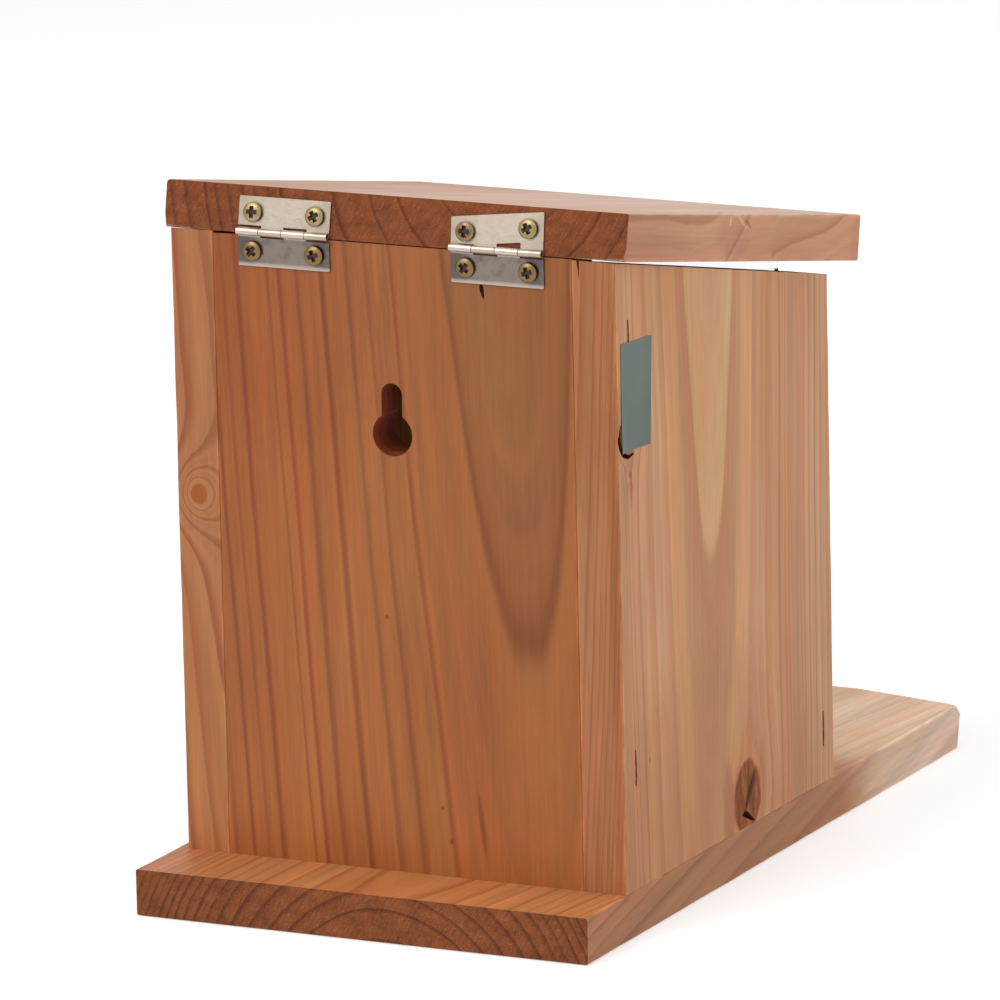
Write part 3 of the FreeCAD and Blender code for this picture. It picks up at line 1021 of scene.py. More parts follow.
@dataclass
class BaseBoard:
    """The long board underneath, with a blunt nose in front.

    Attributes:
        swell_start, swell: where the left corner starts to lean forwards, and how steeply.
        facet, facet_way: a place on the small flat sawn off that corner, and the way it faces.
    """

    thickness: float = BOARD
    nose_half: float = 37.75
    corner_setback: float = 8.5
    swell_start: float = 73.0
    swell: float = 0.2385
    facet: tuple[float, float, float] = (-BOX_HALF, -137.6, 10.9)
    facet_way: tuple[float, float, float] = (-4.68, -10.8, 9.6)

    def build(self, effects: Effects, cuts: Cuts) -> Piece:
        """Builds the board with its staples' slits below."""
        low, high = (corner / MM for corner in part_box("base_board"))
        middle = (low + high) / 2
        axes = board_axes(middle, Z, Y)
        half = ((high.x - low.x) / 2, self.thickness / 2)
        front, rear = low.y, high.y

        def nose(u: float, v: float) -> float:
            """Where the blunt front end lies."""
            beyond = max(0.0, abs(u) - self.nose_half) / (half[0] - self.nose_half)
            lean = max(0.0, u - self.swell_start) / (half[0] - self.swell_start)
            return front + self.corner_setback * beyond - lean * self.swell * (v + half[1])

        columns = (-60, -self.nose_half, -20, 0, 20, self.nose_half, 60, self.swell_start)
        plank = Plank("base_board_planed", axes, half, nose, lambda u, v: rear, columns, end_chips=0.3,
                      seed=3.0)
        wood = self.finish(axes, half).material(effects)
        board = plank.build(wood)
        cutters = [self.corner_cutter(wood)]
        for number, (x, y, turned) in enumerate(base_staple_places()):
            place = (middle.x - x, y)
            cutters.append(plank.gouge(slit(place, not turned, number), SLIT_DEPTH, cuts.slit, side=-1))
        cut_out(board, cutters)
        shade(board)
        return register(board, Body.BOX, Slot.WOOD, "base_board")

    def corner_cutter(self, wood: Material) -> Piece:
        """A block whose lower face takes a small flat off the left front corner."""
        size = 9.0
        out = Vector(self.facet_way).normalized()
        first = out.orthogonal().normalized()
        second = out.cross(first)
        points = [(Vector(self.facet) + first * a * size + second * b * size + out * h) * MM
                  for h in (0, size) for a, b in ((-1, -1), (1, -1), (1, 1), (-1, 1))]
        faces = [(i, (i + 1) % 4, 4 + (i + 1) % 4, 4 + i) for i in range(4)] + [(0, 1, 2, 3), (4, 5, 6, 7)]
        return make_object("cutter", mesh_from("cutter", points, faces), [wood])

    def finish(self, axes: BoardAxes, half: Place) -> WoodFinish:
        """The base board's wood: close even rings, pith below, and its front end painted paler as if more
        strongly lit.
        """
        inner = (14, 22, 28.5, 37.6, 43.0, 48.3, 54.0, 59.3, 63.9, 67.5, 71.2, 74.4, 77.2, 79.6, 82.0, 84.2,
                 86.3, 88.6, 91.2, 94)
        rings = inner + tuple(94 + 2.4 * n for n in range(1, 10))
        zones = ((0, (190, 124, 77)), (36, (194, 126, 77)), (60, (188, 122, 75)), (100, (180, 119, 77)))
        return WoodFinish("base board wood", axes, half, (21.0, -27.1), (-0.09, -0.05), rings, zones,
                          # painted shade: the base's sides are darker and bluer than its top
                          late=(0.74, 0.64, 0.56), wander=2.2, seed=3.0, narrow_painted_shading=(0.66, 0.69, 0.77),
                          end_early=(133, 74, 40), end_late=(85, 45, 28), calm=(-90.0, 20.0, 0.75),
                          # painted light: the paler front end stands for the stronger light falling on the
                          # base's front
                          foot=(-80.0, -40.0, 0.9, (248, 207, 176)))


def base_staple_places() -> list[tuple[float, float, bool]]:
    """Each staple under the base: its X, its Y, and whether its crown lies along X."""
    places = [(x, y, False) for x in (-67.75, 67.75) for y in (-8.0, 85.5)]
    return places + [(sign * 35.0, 108.25, True) for sign in (-1, 1)] + [(sign * 20.0, -30.75, True)
                                                                         for sign in (-1, 1)]


@dataclass
class SidePanel:
    """A side panel, cut to the lid's slope, with the window's groove and its staples' slits."""

    side: int
    rear: float = BOX_REAR
    front: float = BOX_FRONT
    base_top: float = BOARD
    rear_top: float = 210.0
    front_top: float = 176.5
    board: float = BOARD
    staple_inset: float = 8.0
    staple_heights: tuple[float, float, float] = (52.5, 185.5, 31.8)
    groove: tuple[float, float, float] = (-23.5, -19.9, 5.0)

    def build(self, effects: Effects, cuts: Cuts) -> Piece:
        """Builds the panel."""
        name = "left_side_panel" if self.side < 0 else "right_side_panel"
        outer, middle_y = BOX_HALF * self.side, (self.rear + self.front) / 2
        axes = board_axes((outer - self.side * self.board / 2, middle_y, 0), X * self.side, Z)
        half = ((self.rear - self.front) / 2, self.board / 2)
        to_y = axes.across.y

        def top(u: float, v: float) -> float:
            """Where the sloping top lies."""
            share = (u * to_y + middle_y - self.front) / (self.rear - self.front)
            return self.front_top + share * (self.rear_top - self.front_top)

        inner = (0.5, 0.35) if self.side < 0 else (0.35, 0.5)
        plank = Plank(name + "_planed", axes, half, lambda u, v: self.base_top, top,
                      (-60, -40, -20, 0, 20, 40, 60), arrises=(0.7, 0.7, *inner), seed=11.0 + 20 * self.side)
        finish = self.left_finish(axes, half) if self.side < 0 else self.right_finish(half)
        panel = plank.build(finish.material(effects))
        rear_u = (self.rear - self.staple_inset - middle_y) * to_y
        front_u = (self.front + self.staple_inset - middle_y) * to_y
        spots = zip((rear_u, rear_u, front_u), self.staple_heights)
        cutters = [plank.gouge(slit(spot, True, number + 9.0 * self.side), SLIT_DEPTH, cuts.slit)
                   for number, spot in enumerate(spots)]
        low, high = sorted((y - middle_y) * to_y for y in self.groove[:2])
        channel = [(low, 0.0), (high, 0.0), (high, 230.0), (low, 230.0)]
        cutters.append(plank.gouge(channel, self.groove[2], cuts.groove, side=-1))
        if self.side < 0:
            cutters += self.damage(plank, cuts, middle_y)
        cut_out(panel, cutters)
        shade(panel)
        return register(panel, Body.BOX, Slot.WOOD, name)

    def damage(self, plank: Plank, cuts: Cuts, middle_y: float) -> list[Piece]:
        """Cutters for the cracks and the loose knot in the left panel."""

        def at(*places: Place) -> list[Place]:
            """Places given by their Y and Z, as this panel's across and along."""
            return [(y - middle_y, z) for y, z in places]

        knot_split = crack(at((22.3, 31.0), (23.3, 28.9), (25.5, 26.1), (27.1, 23.4), (28.8, 21.5),
                              (29.0, 19.6)), 0.9, 1.0)
        hollow = at((31.9, 19.0), (29.4, 20.0), (27.2, 19.1), (21.7, 14.8), (23.8, 15.0), (31.1, 18.4))
        gap = crack(at((113.9, 160.0), (114.5, 157.3), (114.6, 155.2), (114.1, 152.8), (112.2, 150.6),
                       (108.7, 149.3), (104.8, 149.7)), 1.7, 6.0, blunt=0.25)
        wedge = [(-5.85, 211.0), (-4.65, 211.0), (-4.75, 203.0)]
        return [plank.gouge(knot_split, 1.6, cuts.crack, narrow=0.3),
                plank.gouge(hollow, 4.0, cuts.hollow, narrow=0.5), plank.gouge(gap, 2.4, cuts.hollow),
                plank.gouge(wedge, 1.6, cuts.slit, narrow=0.6, edge=True)]

    def left_finish(self, axes: BoardAxes, half: Place) -> WoodFinish:
        """The left panel's pale wood: a flat-sawn cathedral over a big knot near its foot."""
        rings = (10, 20, 28, 35.9, 45.8, 53.6, 61.2, 64.9, 67.2, 68.8, 69.8, 70.6, 71.3, 72, 72.8, 73.5, 74.2,
                 75, 75.7, 76.4, 80, 84)
        zones = ((0, (190, 143, 102)), (36, (188, 142, 102)), (40, (185, 134, 95)), (58, (186, 135, 95)),
                 (72, (177, 124, 85)), (84, (183, 132, 95)))
        knots = (Knot(-11.0, 24.0, 9.6, 11.4, ripple=-2.0, colour=(165, 104, 56), dark=(110, 60, 30)),
                 Knot(69.85, 155.2, 6.2, 6.4, ripple=-0.6, colour=(162, 108, 82), dark=(148, 92, 68)))
        marks = (Mark(20.0, 20.0, 95.0, 75.0, (0.87, 0.80, 0.71)),
                 Mark(-11.0, 30.0, 13.5, 20.0, (0.96, 0.87, 0.77)),
                 Mark(2.4, 22.0, 5.0, 20.0, (0.74, 0.61, 0.50)),
                 Mark(-22.5, 27.0, 4.0, 16.0, (0.92, 0.79, 0.66)),
                 Mark(-13.2, 42.5, 3.2, 10.5, (0.93, 0.76, 0.62)),
                 Mark(-13.1, 25.3, 2.8, 7.5, (0.45, 0.32, 0.24), lean=-0.59),
                 Mark(69.5, 147.0, 4.5, 4.5, (0.90, 0.78, 0.74)),
                 Mark(68.2, 138.5, 1.0, 6.5, (0.78, 0.62, 0.55)),
                 Mark(58.75, 52.5, 0.7, 1.3, (0.60, 0.50, 0.42)),
                 Mark(68.95, 143.5, 1.3, 1.5, (0.52, 0.42, 0.38)),
                 Mark(69.0, 140.0, 3.4, 2.2, (1.0, 0.80, 0.70)),
                 Mark(69.75, 142.0, 5.5, 8.5, (0.93, 0.89, 0.92)),
                 Mark(5.1, 112.0, 2.2, 120.0, (0.88, 0.76, 0.66), narrow=True),
                 Mark(0.0, 190.0, 14.0, 60.0, (0.95, 0.88, 0.82), narrow=True),
                 Mark(0.0, 40.0, 14.0, 60.0, (1.10, 1.05, 1.04), narrow=True))
        return WoodFinish("left panel wood", axes, half, (12.3, -34.2), (0.0, 0.05), rings, zones,
                          late=(0.77, 0.69, 0.59), late_width=6.0, slim=1.0, peak=0.95, flip=1.0, wander=1.6,
                          # painted shade: the panel's edges are darker and redder than its faces
                          seed=21.0, narrow_painted_shading=(0.875, 0.74, 0.68), knots=knots, marks=marks)

    def right_finish(self, half: Place) -> WoodFinish:
        """The right panel's orange wood, with a small round knot on its rear edge."""
        axes = board_axes((BOX_HALF - self.board / 2, (self.rear + self.front) / 2, 0), Y, Z)
        rings = tuple(4.0 + 3.9 * n for n in range(1, 27))
        zones = ((0, (168, 108, 69)), (50, (170, 109, 69)), (90, (164, 103, 63)))
        knots = (Knot(0.0, 127.6, 2.7, 3.1, ripple=-16.0, decay=0.45, colour=(142, 82, 52),
                      dark=(120, 64, 38), fill=0.35, outline=0.0),)
        return WoodFinish("right panel wood", axes, (half[1], half[0]), (-30.0, 20.0), (0.02, 0.04), rings,
                          zones, late=(0.72, 0.60, 0.50), wander=3.2, seed=37.0,
                          # painted light: the panel's broad faces are paler than its edges
                          narrow_painted_shading=(1.10, 1.25, 1.35), foot=(14.0, 75.0, 0.9, (181, 117, 71)), dull=-7.0,
                          knots=knots)


@dataclass
class BackPanel:
    """The panel between the side panels, with the keyhole that the box hangs by."""

    board: float = BOARD
    base_top: float = BOARD
    rear: float = BOX_REAR
    rear_top: float = 210.25
    top_fall: float = 0.179
    key_middle: Place = (0.8, 151.5)
    key_radius: float = 6.7
    slot_radius: float = 3.5
    slot_rise: float = 12.5

    def build(self, effects: Effects, cuts: Cuts) -> Piece:
        """Builds the panel."""
        half = (INNER_HALF, self.board / 2)
        axes = board_axes((0, self.rear - self.board / 2, 0), Y, Z)

        def top(u: float, v: float) -> float:
            """Where the bevelled top lies, a little lower at one end."""
            return self.rear_top - (half[1] - v) * self.top_fall - 0.02 * max(0.0, u - 40)

        plank = Plank("back_panel_planed", axes, half, lambda u, v: self.base_top, top,
                      (-45, -30, -15, 0, 15, 30, 40, 50), arrises=(0.4,) * 4, seed=5.0)
        panel = plank.build(self.finish(axes, half).material(effects))
        wedge = crack([(-29.9, 202.0), (-30.3, 199.0), (-31.1, 195.2)], 1.6, 8.0, blunt=0.1)
        cutters = [plank.gouge(self.keyhole(), self.board + 0.6, cuts.keyhole),
                   plank.gouge(wedge, 2.0, cuts.crack, narrow=0.3)]
        cut_out(panel, cutters)
        shade(panel)
        return register(panel, Body.BOX, Slot.WOOD, "back_panel")

    def keyhole(self) -> list[Place]:
        """The outline of the round with the slot rising from it."""
        x, z = self.key_middle
        open_half = math.degrees(math.asin(self.slot_radius / self.key_radius))
        round_part = arc((x, z), (self.key_radius,) * 2, 90 + open_half, 450 - open_half, 40)
        return round_part + arc((x, z + self.slot_rise), (self.slot_radius,) * 2, 0, 180, 16)

    def finish(self, axes: BoardAxes, half: Place) -> WoodFinish:
        """The back's wood: bold upright rings on one side and a tall cathedral on the other."""
        rings = (12, 24, 41.0, 52.8, 59.6, 65.4, 73.1, 80.3, 85.4, 88.5, 99.0, 103.3, 108, 114)
        zones = ((0, (147, 90, 51)), (38, (145, 86, 45)), (42, (152, 88, 43)), (60, (160, 95, 48)),
                 (84, (164, 96, 47)), (103, (155, 89, 43)))
        speck = (0.55, 0.45, 0.40)
        marks = (Mark(-13.4, 36.0, 0.8, 0.9, speck), Mark(-16.2, 25.6, 0.8, 0.9, speck),
                 Mark(4.2, 94.4, 0.8, 0.9, speck),
                 Mark(-26.75, 31.6, 1.1, 12.5, (0.74, 0.62, 0.52), lean=0.112),
                 Mark(34.0, 190.0, 42.0, 60.0, (0.88, 0.80, 0.74)))
        return WoodFinish("back panel wood", axes, half, (-46.5, -37.35), (0.04, 0.05), rings, zones,
                          late=(0.66, 0.55, 0.46), peak=0.8, wander=1.5, seed=7.0,
                          foot=(14.0, 80.0, 0.8, (168, 99, 48)), marks=marks)


@dataclass
class FrontRail:
    """The low rail across the front that the window stands behind."""

    board: float = BOARD
    front: float = BOX_FRONT
    height: float = 34.0
    base_top: float = BOARD

    def build(self, effects: Effects) -> Piece:
        """Builds the rail."""
        axes = board_axes((0, self.front + self.board / 2, self.base_top + self.height / 2), -Y, X)
        half = (self.height / 2, self.board / 2)
        plank = Plank("front_rail_planed", axes, half, lambda u, v: -INNER_HALF, lambda u, v: INNER_HALF,
                      (-8, 0, 8), seed=15.0)
        rings = tuple(3.0 + 4.4 * n for n in range(1, 19))
        zones = ((0, (182, 126, 86)), (40, (180, 122, 82)), (70, (174, 116, 76)))
        finish = WoodFinish("front rail wood", axes, half, (6.0, -34.0), (0.02, 0.03), rings, zones,
                            late=(0.74, 0.63, 0.54), seed=51.0)
        rail = plank.build(finish.material(effects))
        shade(rail)
        return register(rail, Body.BOX, Slot.WOOD, "front_rail")


@dataclass
class LidBoard:
    """The sloping lid, its sawn rear end standing over the hinges."""

    corner: Place = (115.6173, 210.6)
    length: float = 172.0
    board: float = BOARD
    left: float = -78.5
    right: float = 77.0
    foot_bevel: float = 0.9

    def build(self, effects: Effects) -> Piece:
        """Builds the lid."""
        grain = Vector((0, math.cos(LID_SLOPE), math.sin(LID_SLOPE)))
        depth = Vector((0, -math.sin(LID_SLOPE), math.cos(LID_SLOPE)))
        foot = Vector(((self.left + self.right) / 2, *self.corner))
        axes = board_axes(foot + depth * self.board / 2, depth, grain)
        half = ((self.right - self.left) / 2, self.board / 2)
        plank = Plank("lid_board_planed", axes, half, lambda u, v: -self.length, lambda u, v: 0.0,
                      (-60, -40, -20, 0, 20, 40, 60), arrises=(1.6, 0.7, 0.7, 0.7), end_chips=0.22, seed=9.0,
                      foot_bevel=self.foot_bevel)
        lid = plank.build(self.finish(axes, half).material(effects))
        shade(lid)
        return register(lid, Body.LID, Slot.WOOD, "lid_board")

    def finish(self, axes: BoardAxes, half: Place) -> WoodFinish:
        """The lid's wood: the pith just above its upper face, so the sawn end shows hanging arcs."""
        rings = (12, 24.2, 37.4, 46.4, 58.4, 67.3, 75.4, 79.7, 84.1, 88.1, 92.9, 97.1, 100.7, 107.8, 112.6,
                 119)
        zones = ((0, (200, 166, 150)), (40, (198, 163, 145)), (70, (190, 148, 129)), (112, (181, 139, 117)))
        bend = ((0.0, 0.14), (-14.0, 0.27), (-29.0, 0.27), (-41.0, -0.31), (-53.0, -0.54), (-62.0, 0.04),
                (-71.3, 1.24), (-72.0, -5.8), (-80.0, -2.63), (-90.0, 1.0), (-105.3, 1.37), (-106.0, -5.3),
                (-110.5, -4.35), (-121.0, -3.06), (-136.4, -2.0), (-144.7, -1.5), (-152.8, -0.6),
                (-160.0, 0.62), (-172.0, 1.5))
        pale, dim = (1.45, 1.55, 1.6), (0.60, 0.50, 0.46)
        marks = (Mark(0.0, -76.0, 7.5, 15.0, (0.92, 0.84, 0.90), narrow=True),
                 Mark(5.2, -74.0, 2.0, 0.8, pale, narrow=True),
                 Mark(5.0, -82.5, 0.8, 4.2, pale, lean=0.57, narrow=True),
                 Mark(4.4, -87.0, 0.8, 3.4, dim, lean=0.5, narrow=True),
                 Mark(0.0, -8.0, 14.0, 50.0, (0.86, 0.83, 0.87), narrow=True),
                 Mark(0.0, -171.0, 12.0, 6.5, (0.96, 0.84, 0.76), narrow=True))
        return WoodFinish("lid wood", axes, half, (34.5, 21.5), (0.0, 0.0), rings, zones,
                          # painted shade: the lid's sides are darker and warmer than its top
                          late=(0.76, 0.66, 0.58), wander=1.2, seed=13.0, narrow_painted_shading=(0.82, 0.61, 0.43),
                          end_early=(128, 68, 36), end_late=(82, 43, 29), bend=bend, marks=marks)


# ---- window


@dataclass
class Window:
    """The clear pane in the side panels' grooves, its edges sawn and lightly broken."""

    thickness: float = 3.0

    def build(self) -> Piece:
        """Builds the pane."""
        low, high = (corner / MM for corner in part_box("window_pane"))
        axes = board_axes((0, (low.y + high.y) / 2, 0), Y, Z)
        plank = Plank("window_pane_clear", axes, (high.x, self.thickness / 2), lambda u, v: low.z,
                      lambda u, v: high.z, (), arrises=(0.3,) * 4, wear=0.0, end_chips=0.0, step=200.0)
        pane = plank.build(self.clear())
        pane.data.materials.append(self.edge("sawn acrylic edge", 0.75, 1.49, 0.5))
        pane.data.materials.append(self.edge("polished acrylic edge", 1.0, 1.04, 0.1))
        for polygon in pane.data.polygons:
            side = 1 if abs(polygon.normal.z) > 0.5 else 2
            polygon.material_index = 0 if abs(polygon.normal.y) > 0.9 else side
        shade(pane)
        return register(pane, Body.BOX, Slot.WINDOW, "window_pane")

    def clear(self) -> Material:
        """The pane's two faces: clear acrylic with a trace of dust."""
        surface = Surface("clear acrylic")
        dust = surface.noise(surface.stretched(surface.place(), (25, 25, 25)), 3.0)
        colour = surface.blend(dust, linear((251, 253, 253)), linear((246, 249, 249)))
        return surface.finish({"Base Color": colour, "Roughness": surface.span(dust, 0.4, 0.8, 0.01, 0.05),
                               "Transmission Weight": 1.0, "Specular IOR Level": 0.35, "IOR": 1.49})

    def edge(self, name: str, clear: float, bending: float, rough: float) -> Material:
        """An edge of the pane, with fine saw lines.

        Args:
            name: the finish's name.
            clear: how much light goes through.
            bending: how much it bends, as an index of refraction.
            rough: the least roughness.

        Returns:
            The material.
        """
        settings = {"Transmission Weight": clear, "IOR": bending}
        return MottledFinish(name, (236, 242, 242), (248, 251, 251), (0.35, 3.0, 0.35), 2.0, 0.5, reach=None,
                             rough=(0.15, rough), relief=0.03, settings=settings).material()


# ---- hinges, screws and staples


@dataclass(frozen=True)
class NickelFinish:
    """Bright nickel plate, brushed along the hinge, with painted dark reflections towards the ends of a leaf.

    Attributes:
        spread: how much of it the painted dark reflections take.
        rough: its least roughness.
        barrel: a painted highlight: the brighter colour of the knuckles and of the leaf's lower edge.
    """

    name: str
    colour: Colour
    end_reflection: Colour
    spread: float
    rough: float
    barrel: Colour | None = None

    def material(self, middle_x: float) -> Material:
        """Builds the finish for a hinge whose middle lies at an X."""
        surface = Surface(self.name)
        place = surface.place()
        centred = surface.vector("SUBTRACT", place, (middle_x, 0.0, 0.0))
        brush = surface.noise(surface.stretched(centred, (7.0, 0.12, 0.12)), 2.0, 0.6)
        cloud = surface.noise(surface.stretched(centred, (4.5, 3.5, 3.5), 2.0), 3.0, 0.6)
        to_ends = surface.span(abs(surface.parts(centred)[0]), 6.0, 15.0)
        # painted reflection: darker patches towards the leaf's ends, broken up by a cloud
        dull = surface.span(to_ends.scaled(0.35, cloud), 0.45, 0.85) * self.spread
        colour = surface.blend(dull, linear(self.colour), linear(self.end_reflection))
        if self.barrel:
            height = surface.parts(place)[2]
            # painted highlight on the knuckles and on the leaf's lower edge
            rim_band = surface.maths("MAXIMUM", surface.span(height, 209.3, 210.1),
                                 surface.span(height, 202.2, 200.8, 0.0, 0.75))
            colour = surface.blend(rim_band, colour, linear(self.barrel))
        return surface.finish({"Base Color": surface.vector("SCALE", colour, brush.scaled(0.22, 0.89)),
                               "Roughness": brush.scaled(0.14, self.rough), "Metallic": 1.0,
                               "Normal": surface.bump(cloud.scaled(2.4, brush * 0.35), 0.05)})


@dataclass(frozen=True)
class PassivatedFinish:
    """Yellow passivated zinc with its green and pink bloom, with painted shade in the recess and round the
    rim.

    Attributes:
        burred: the place of a screw whose head is burred and dark.
        dim: painted shade: how much darker the heads are, by channel.
    """

    burred: Vector | None = None
    dim: Tone = (1.0, 1.0, 1.0)

    def material(self) -> Material:
        """Builds the finish."""
        surface = Surface("yellow passivated zinc")
        place = surface.place()
        bloom = surface.parts(surface.noise(surface.stretched(place, (2.6,) * 3), colour=True))
        green, pink = surface.span(bloom[0], 0.38, 0.62), surface.span(bloom[1], 0.45, 0.68)
        colour = surface.blend(green, linear((164, 142, 106)), linear((144, 140, 86)))
        # painted shade: the heads are darkened by the dim factors
        colour = surface.tint(1.0, surface.blend(pink * 0.7, colour, linear((174, 136, 110))), self.dim)
        scuff = surface.noise(surface.stretched(place, (0.5,) * 3), 3.0, 0.7)
        if self.burred:
            near = surface.span(surface.vector("DISTANCE", place, tuple(self.burred)), 2.2, 3.6, 1.0, 0.0)
            burr = near * surface.span(scuff, 0.36, 0.56, 0.25, 0.85)
            colour = surface.blend(burr, colour, linear((84, 60, 42)))
        # painted shade: a stored mask darkens the cross recess and the head's rim
        deep = surface.out("ShaderNodeAttribute", output="Fac", attribute_name="recess_rim_shade")
        return surface.finish({"Base Color": surface.blend(deep * 0.95, colour, linear((50, 28, 15))),
                               "Roughness": scuff.scaled(0.25, 0.26), "Normal": surface.bump(scuff, 0.03),
                               "Metallic": surface.span(deep, 0.5, 1.0, 1.0, 0.2)})


class ShapeTree(Bench):
    """A geometry node tree with named inputs, which puts one fastener at every point it is given."""

    def __init__(self, name: str, sizes: dict[str, float]) -> None:
        """Makes the tree's sockets.

        Args:
            name: the tree's name.
            sizes: each named size, in millimetres.
        """
        super().__init__(bpy.data.node_groups.new(name, "GeometryNodeTree"))
        self.tree.is_modifier = True
        self.sizes = {label: size * MM for label, size in sizes.items()}
        takes = {"Points": "Geometry", **{label: "Float" for label in sizes}, "Finish": "Material"}
        for label, kind in takes.items():
            self.tree.interface.new_socket(label, in_out="INPUT", socket_type=f"NodeSocket{kind}")
        self.tree.interface.new_socket("Fasteners", in_out="OUTPUT", socket_type="NodeSocketGeometry")
        self.given = self.named(self.add("NodeGroupInput"))

    def chosen(self, index: Wire, choices: Sequence[Wire]) -> Wire:
        """The vector that an index picks from a list."""
        node = self.add("GeometryNodeIndexSwitch", data_type="VECTOR")
        while len(node.index_switch_items) < len(choices):
            node.index_switch_items.new()
        for socket, value in zip(node.inputs, (index, *choices)):
            self.feed(socket, value)
        return Wire(self, node.outputs[0])

    def moved(self, geometry: Wire, place: Wire) -> Wire:
        """Geometry with its points put at new places."""
        return self.out("GeometryNodeSetPosition", {"Geometry": geometry, "Position": place})

    def scatter(self, fastener: Wire) -> None:
        """Places the fastener at each point, turned by the point's own angles, and ends the tree."""
        angles = self.out("GeometryNodeInputNamedAttribute", {"Name": "turn"}, data_type="FLOAT_VECTOR")
        turn = self.out("FunctionNodeEulerToRotation", {0: angles})
        given = {"Points": self.given["Points"], "Instance": fastener, "Rotation": turn}
        whole = self.out("GeometryNodeRealizeInstances", {0: self.out("GeometryNodeInstanceOnPoints", given)})
        given = {"Geometry": whole, "Material": self.given["Finish"]}
        self.add("NodeGroupOutput", {0: self.out("GeometryNodeSetMaterial", given)})

    def make(self, name: str, places: Sequence[tuple[Vector, Euler]], material: Material) -> Piece:
        """Runs the tree on a set of places.

        Args:
            name: the new piece's name.
            places: each fastener's place in metres, and its turn.
            material: its finish.

        Returns:
            The fasteners as one plain mesh.
        """
        mesh = bpy.data.meshes.new(name)
        mesh.from_pydata([tuple(place) for place, _ in places], [], [])
        turns = mesh.attributes.new("turn", "FLOAT_VECTOR", "POINT")
        for item, (_, turn) in zip(turns.data, places):
            item.vector = tuple(turn)
        piece = make_object(name, mesh, [])
        modifier = piece.modifiers.new("fasteners", "NODES")
        modifier.node_group = self.tree
        values = {**self.sizes, "Finish": material}
        for socket in self.tree.interface.items_tree:
            if socket.name in values and socket.in_out == "INPUT":
                modifier[socket.identifier] = values[socket.name]
        settle(piece)
        outward(piece.data)
        return piece


def screw_tree() -> ShapeTree:
    """Raised countersunk wood screws: a profile turned round the axis, with a cross cut in its head."""
    tree = ShapeTree("cross head screws", {
        "Head Radius": 3.05, "Crown Radius": 1.7, "Shank Radius": 1.5, "Rim Low": 0.8, "Rim High": 1.0,
        "Crown": 1.6, "Neck": -0.5, "Tip": -8.95, "Recess Span": 4.7, "Recess Width": 1.75,
        "Recess Depth": 0.9})
    given, turn_points, tip_length = tree.given, 49, 1.6 * MM
    needed = ("Head Radius", "Crown Radius", "Shank Radius", "Crown")
    head, crown_radius, shank, crown = (given[name] for name in needed)
    rim_band = head * 0.985
    profile = ((0.0, given["Tip"]), (shank, given["Tip"] + tip_length), (shank, given["Neck"]),
               (rim_band, given["Rim Low"]), (head, given["Rim High"].scaled(0.7, given["Rim Low"] * 0.3)),
               (rim_band, given["Rim High"]),
               ((head + crown_radius) * 0.5, crown.scaled(0.72, given["Rim High"] * 0.28)),
               (crown_radius, crown), (crown_radius * 0.5, crown), (0.0, crown))
    size = {"Vertices X": len(profile), "Vertices Y": turn_points}
    index = tree.out("GeometryNodeInputIndex")
    row = tree.maths("FLOOR", (index + 0.5) / float(turn_points))
    angle = (index - row * float(turn_points)) * (math.tau / (turn_points - 1))
    radius, _, height = tree.parts(tree.chosen(row, [tree.point(wide, 0.0, high) for wide, high in profile]))
    place = tree.point(radius * tree.maths("COSINE", angle), radius * tree.maths("SINE", angle), height)
    turned = tree.moved(tree.out("GeometryNodeMeshGrid", size), place)
    closed = tree.out("GeometryNodeMergeByDistance", {"Geometry": turned, "Distance": 1e-6})
    body = tree.out("GeometryNodeFlipFaces", {0: closed})
    carve = tree.add("GeometryNodeMeshBoolean", {"Mesh 1": body}, operation="DIFFERENCE", solver="MANIFOLD")
    deep = given["Recess Depth"]
    for long, wide in (("Recess Span", "Recess Width"), ("Recess Width", "Recess Span")):
        block = tree.out("GeometryNodeMeshCube", {"Size": tree.point(given[long], given[wide], deep * 2.0)})
        x, y, z = tree.parts(tree.out("GeometryNodeInputPosition"))
        taper = tree.span(z, deep * -1.0, deep, 0.45, 1.12, smooth=False)
        tree.feed(carve.inputs["Mesh 2"], tree.moved(block, tree.point(x * taper, y * taper, z + crown)))
    x, y, z = tree.parts(tree.out("GeometryNodeInputPosition"))
    reach = tree.vector("LENGTH", tree.point(x, y, 0.0))
    # painted shade mask: 1 in the cross recess, rising towards the head's rim
    below = tree.maths("LESS_THAN", z, deep.scaled(-0.16, crown))
    near = tree.maths("LESS_THAN", reach, given["Recess Span"] * 0.5)
    rim = tree.span(reach, head * 0.9, head, 0.0, 0.55)
    stored = {"Geometry": Wire(tree, carve.outputs[0]), "Name": "recess_rim_shade",
              "Value": tree.maths("MAXIMUM", below * near, rim)}
    tree.scatter(tree.out("GeometryNodeStoreNamedAttribute", stored, data_type="FLOAT", domain="FACE"))
    return tree


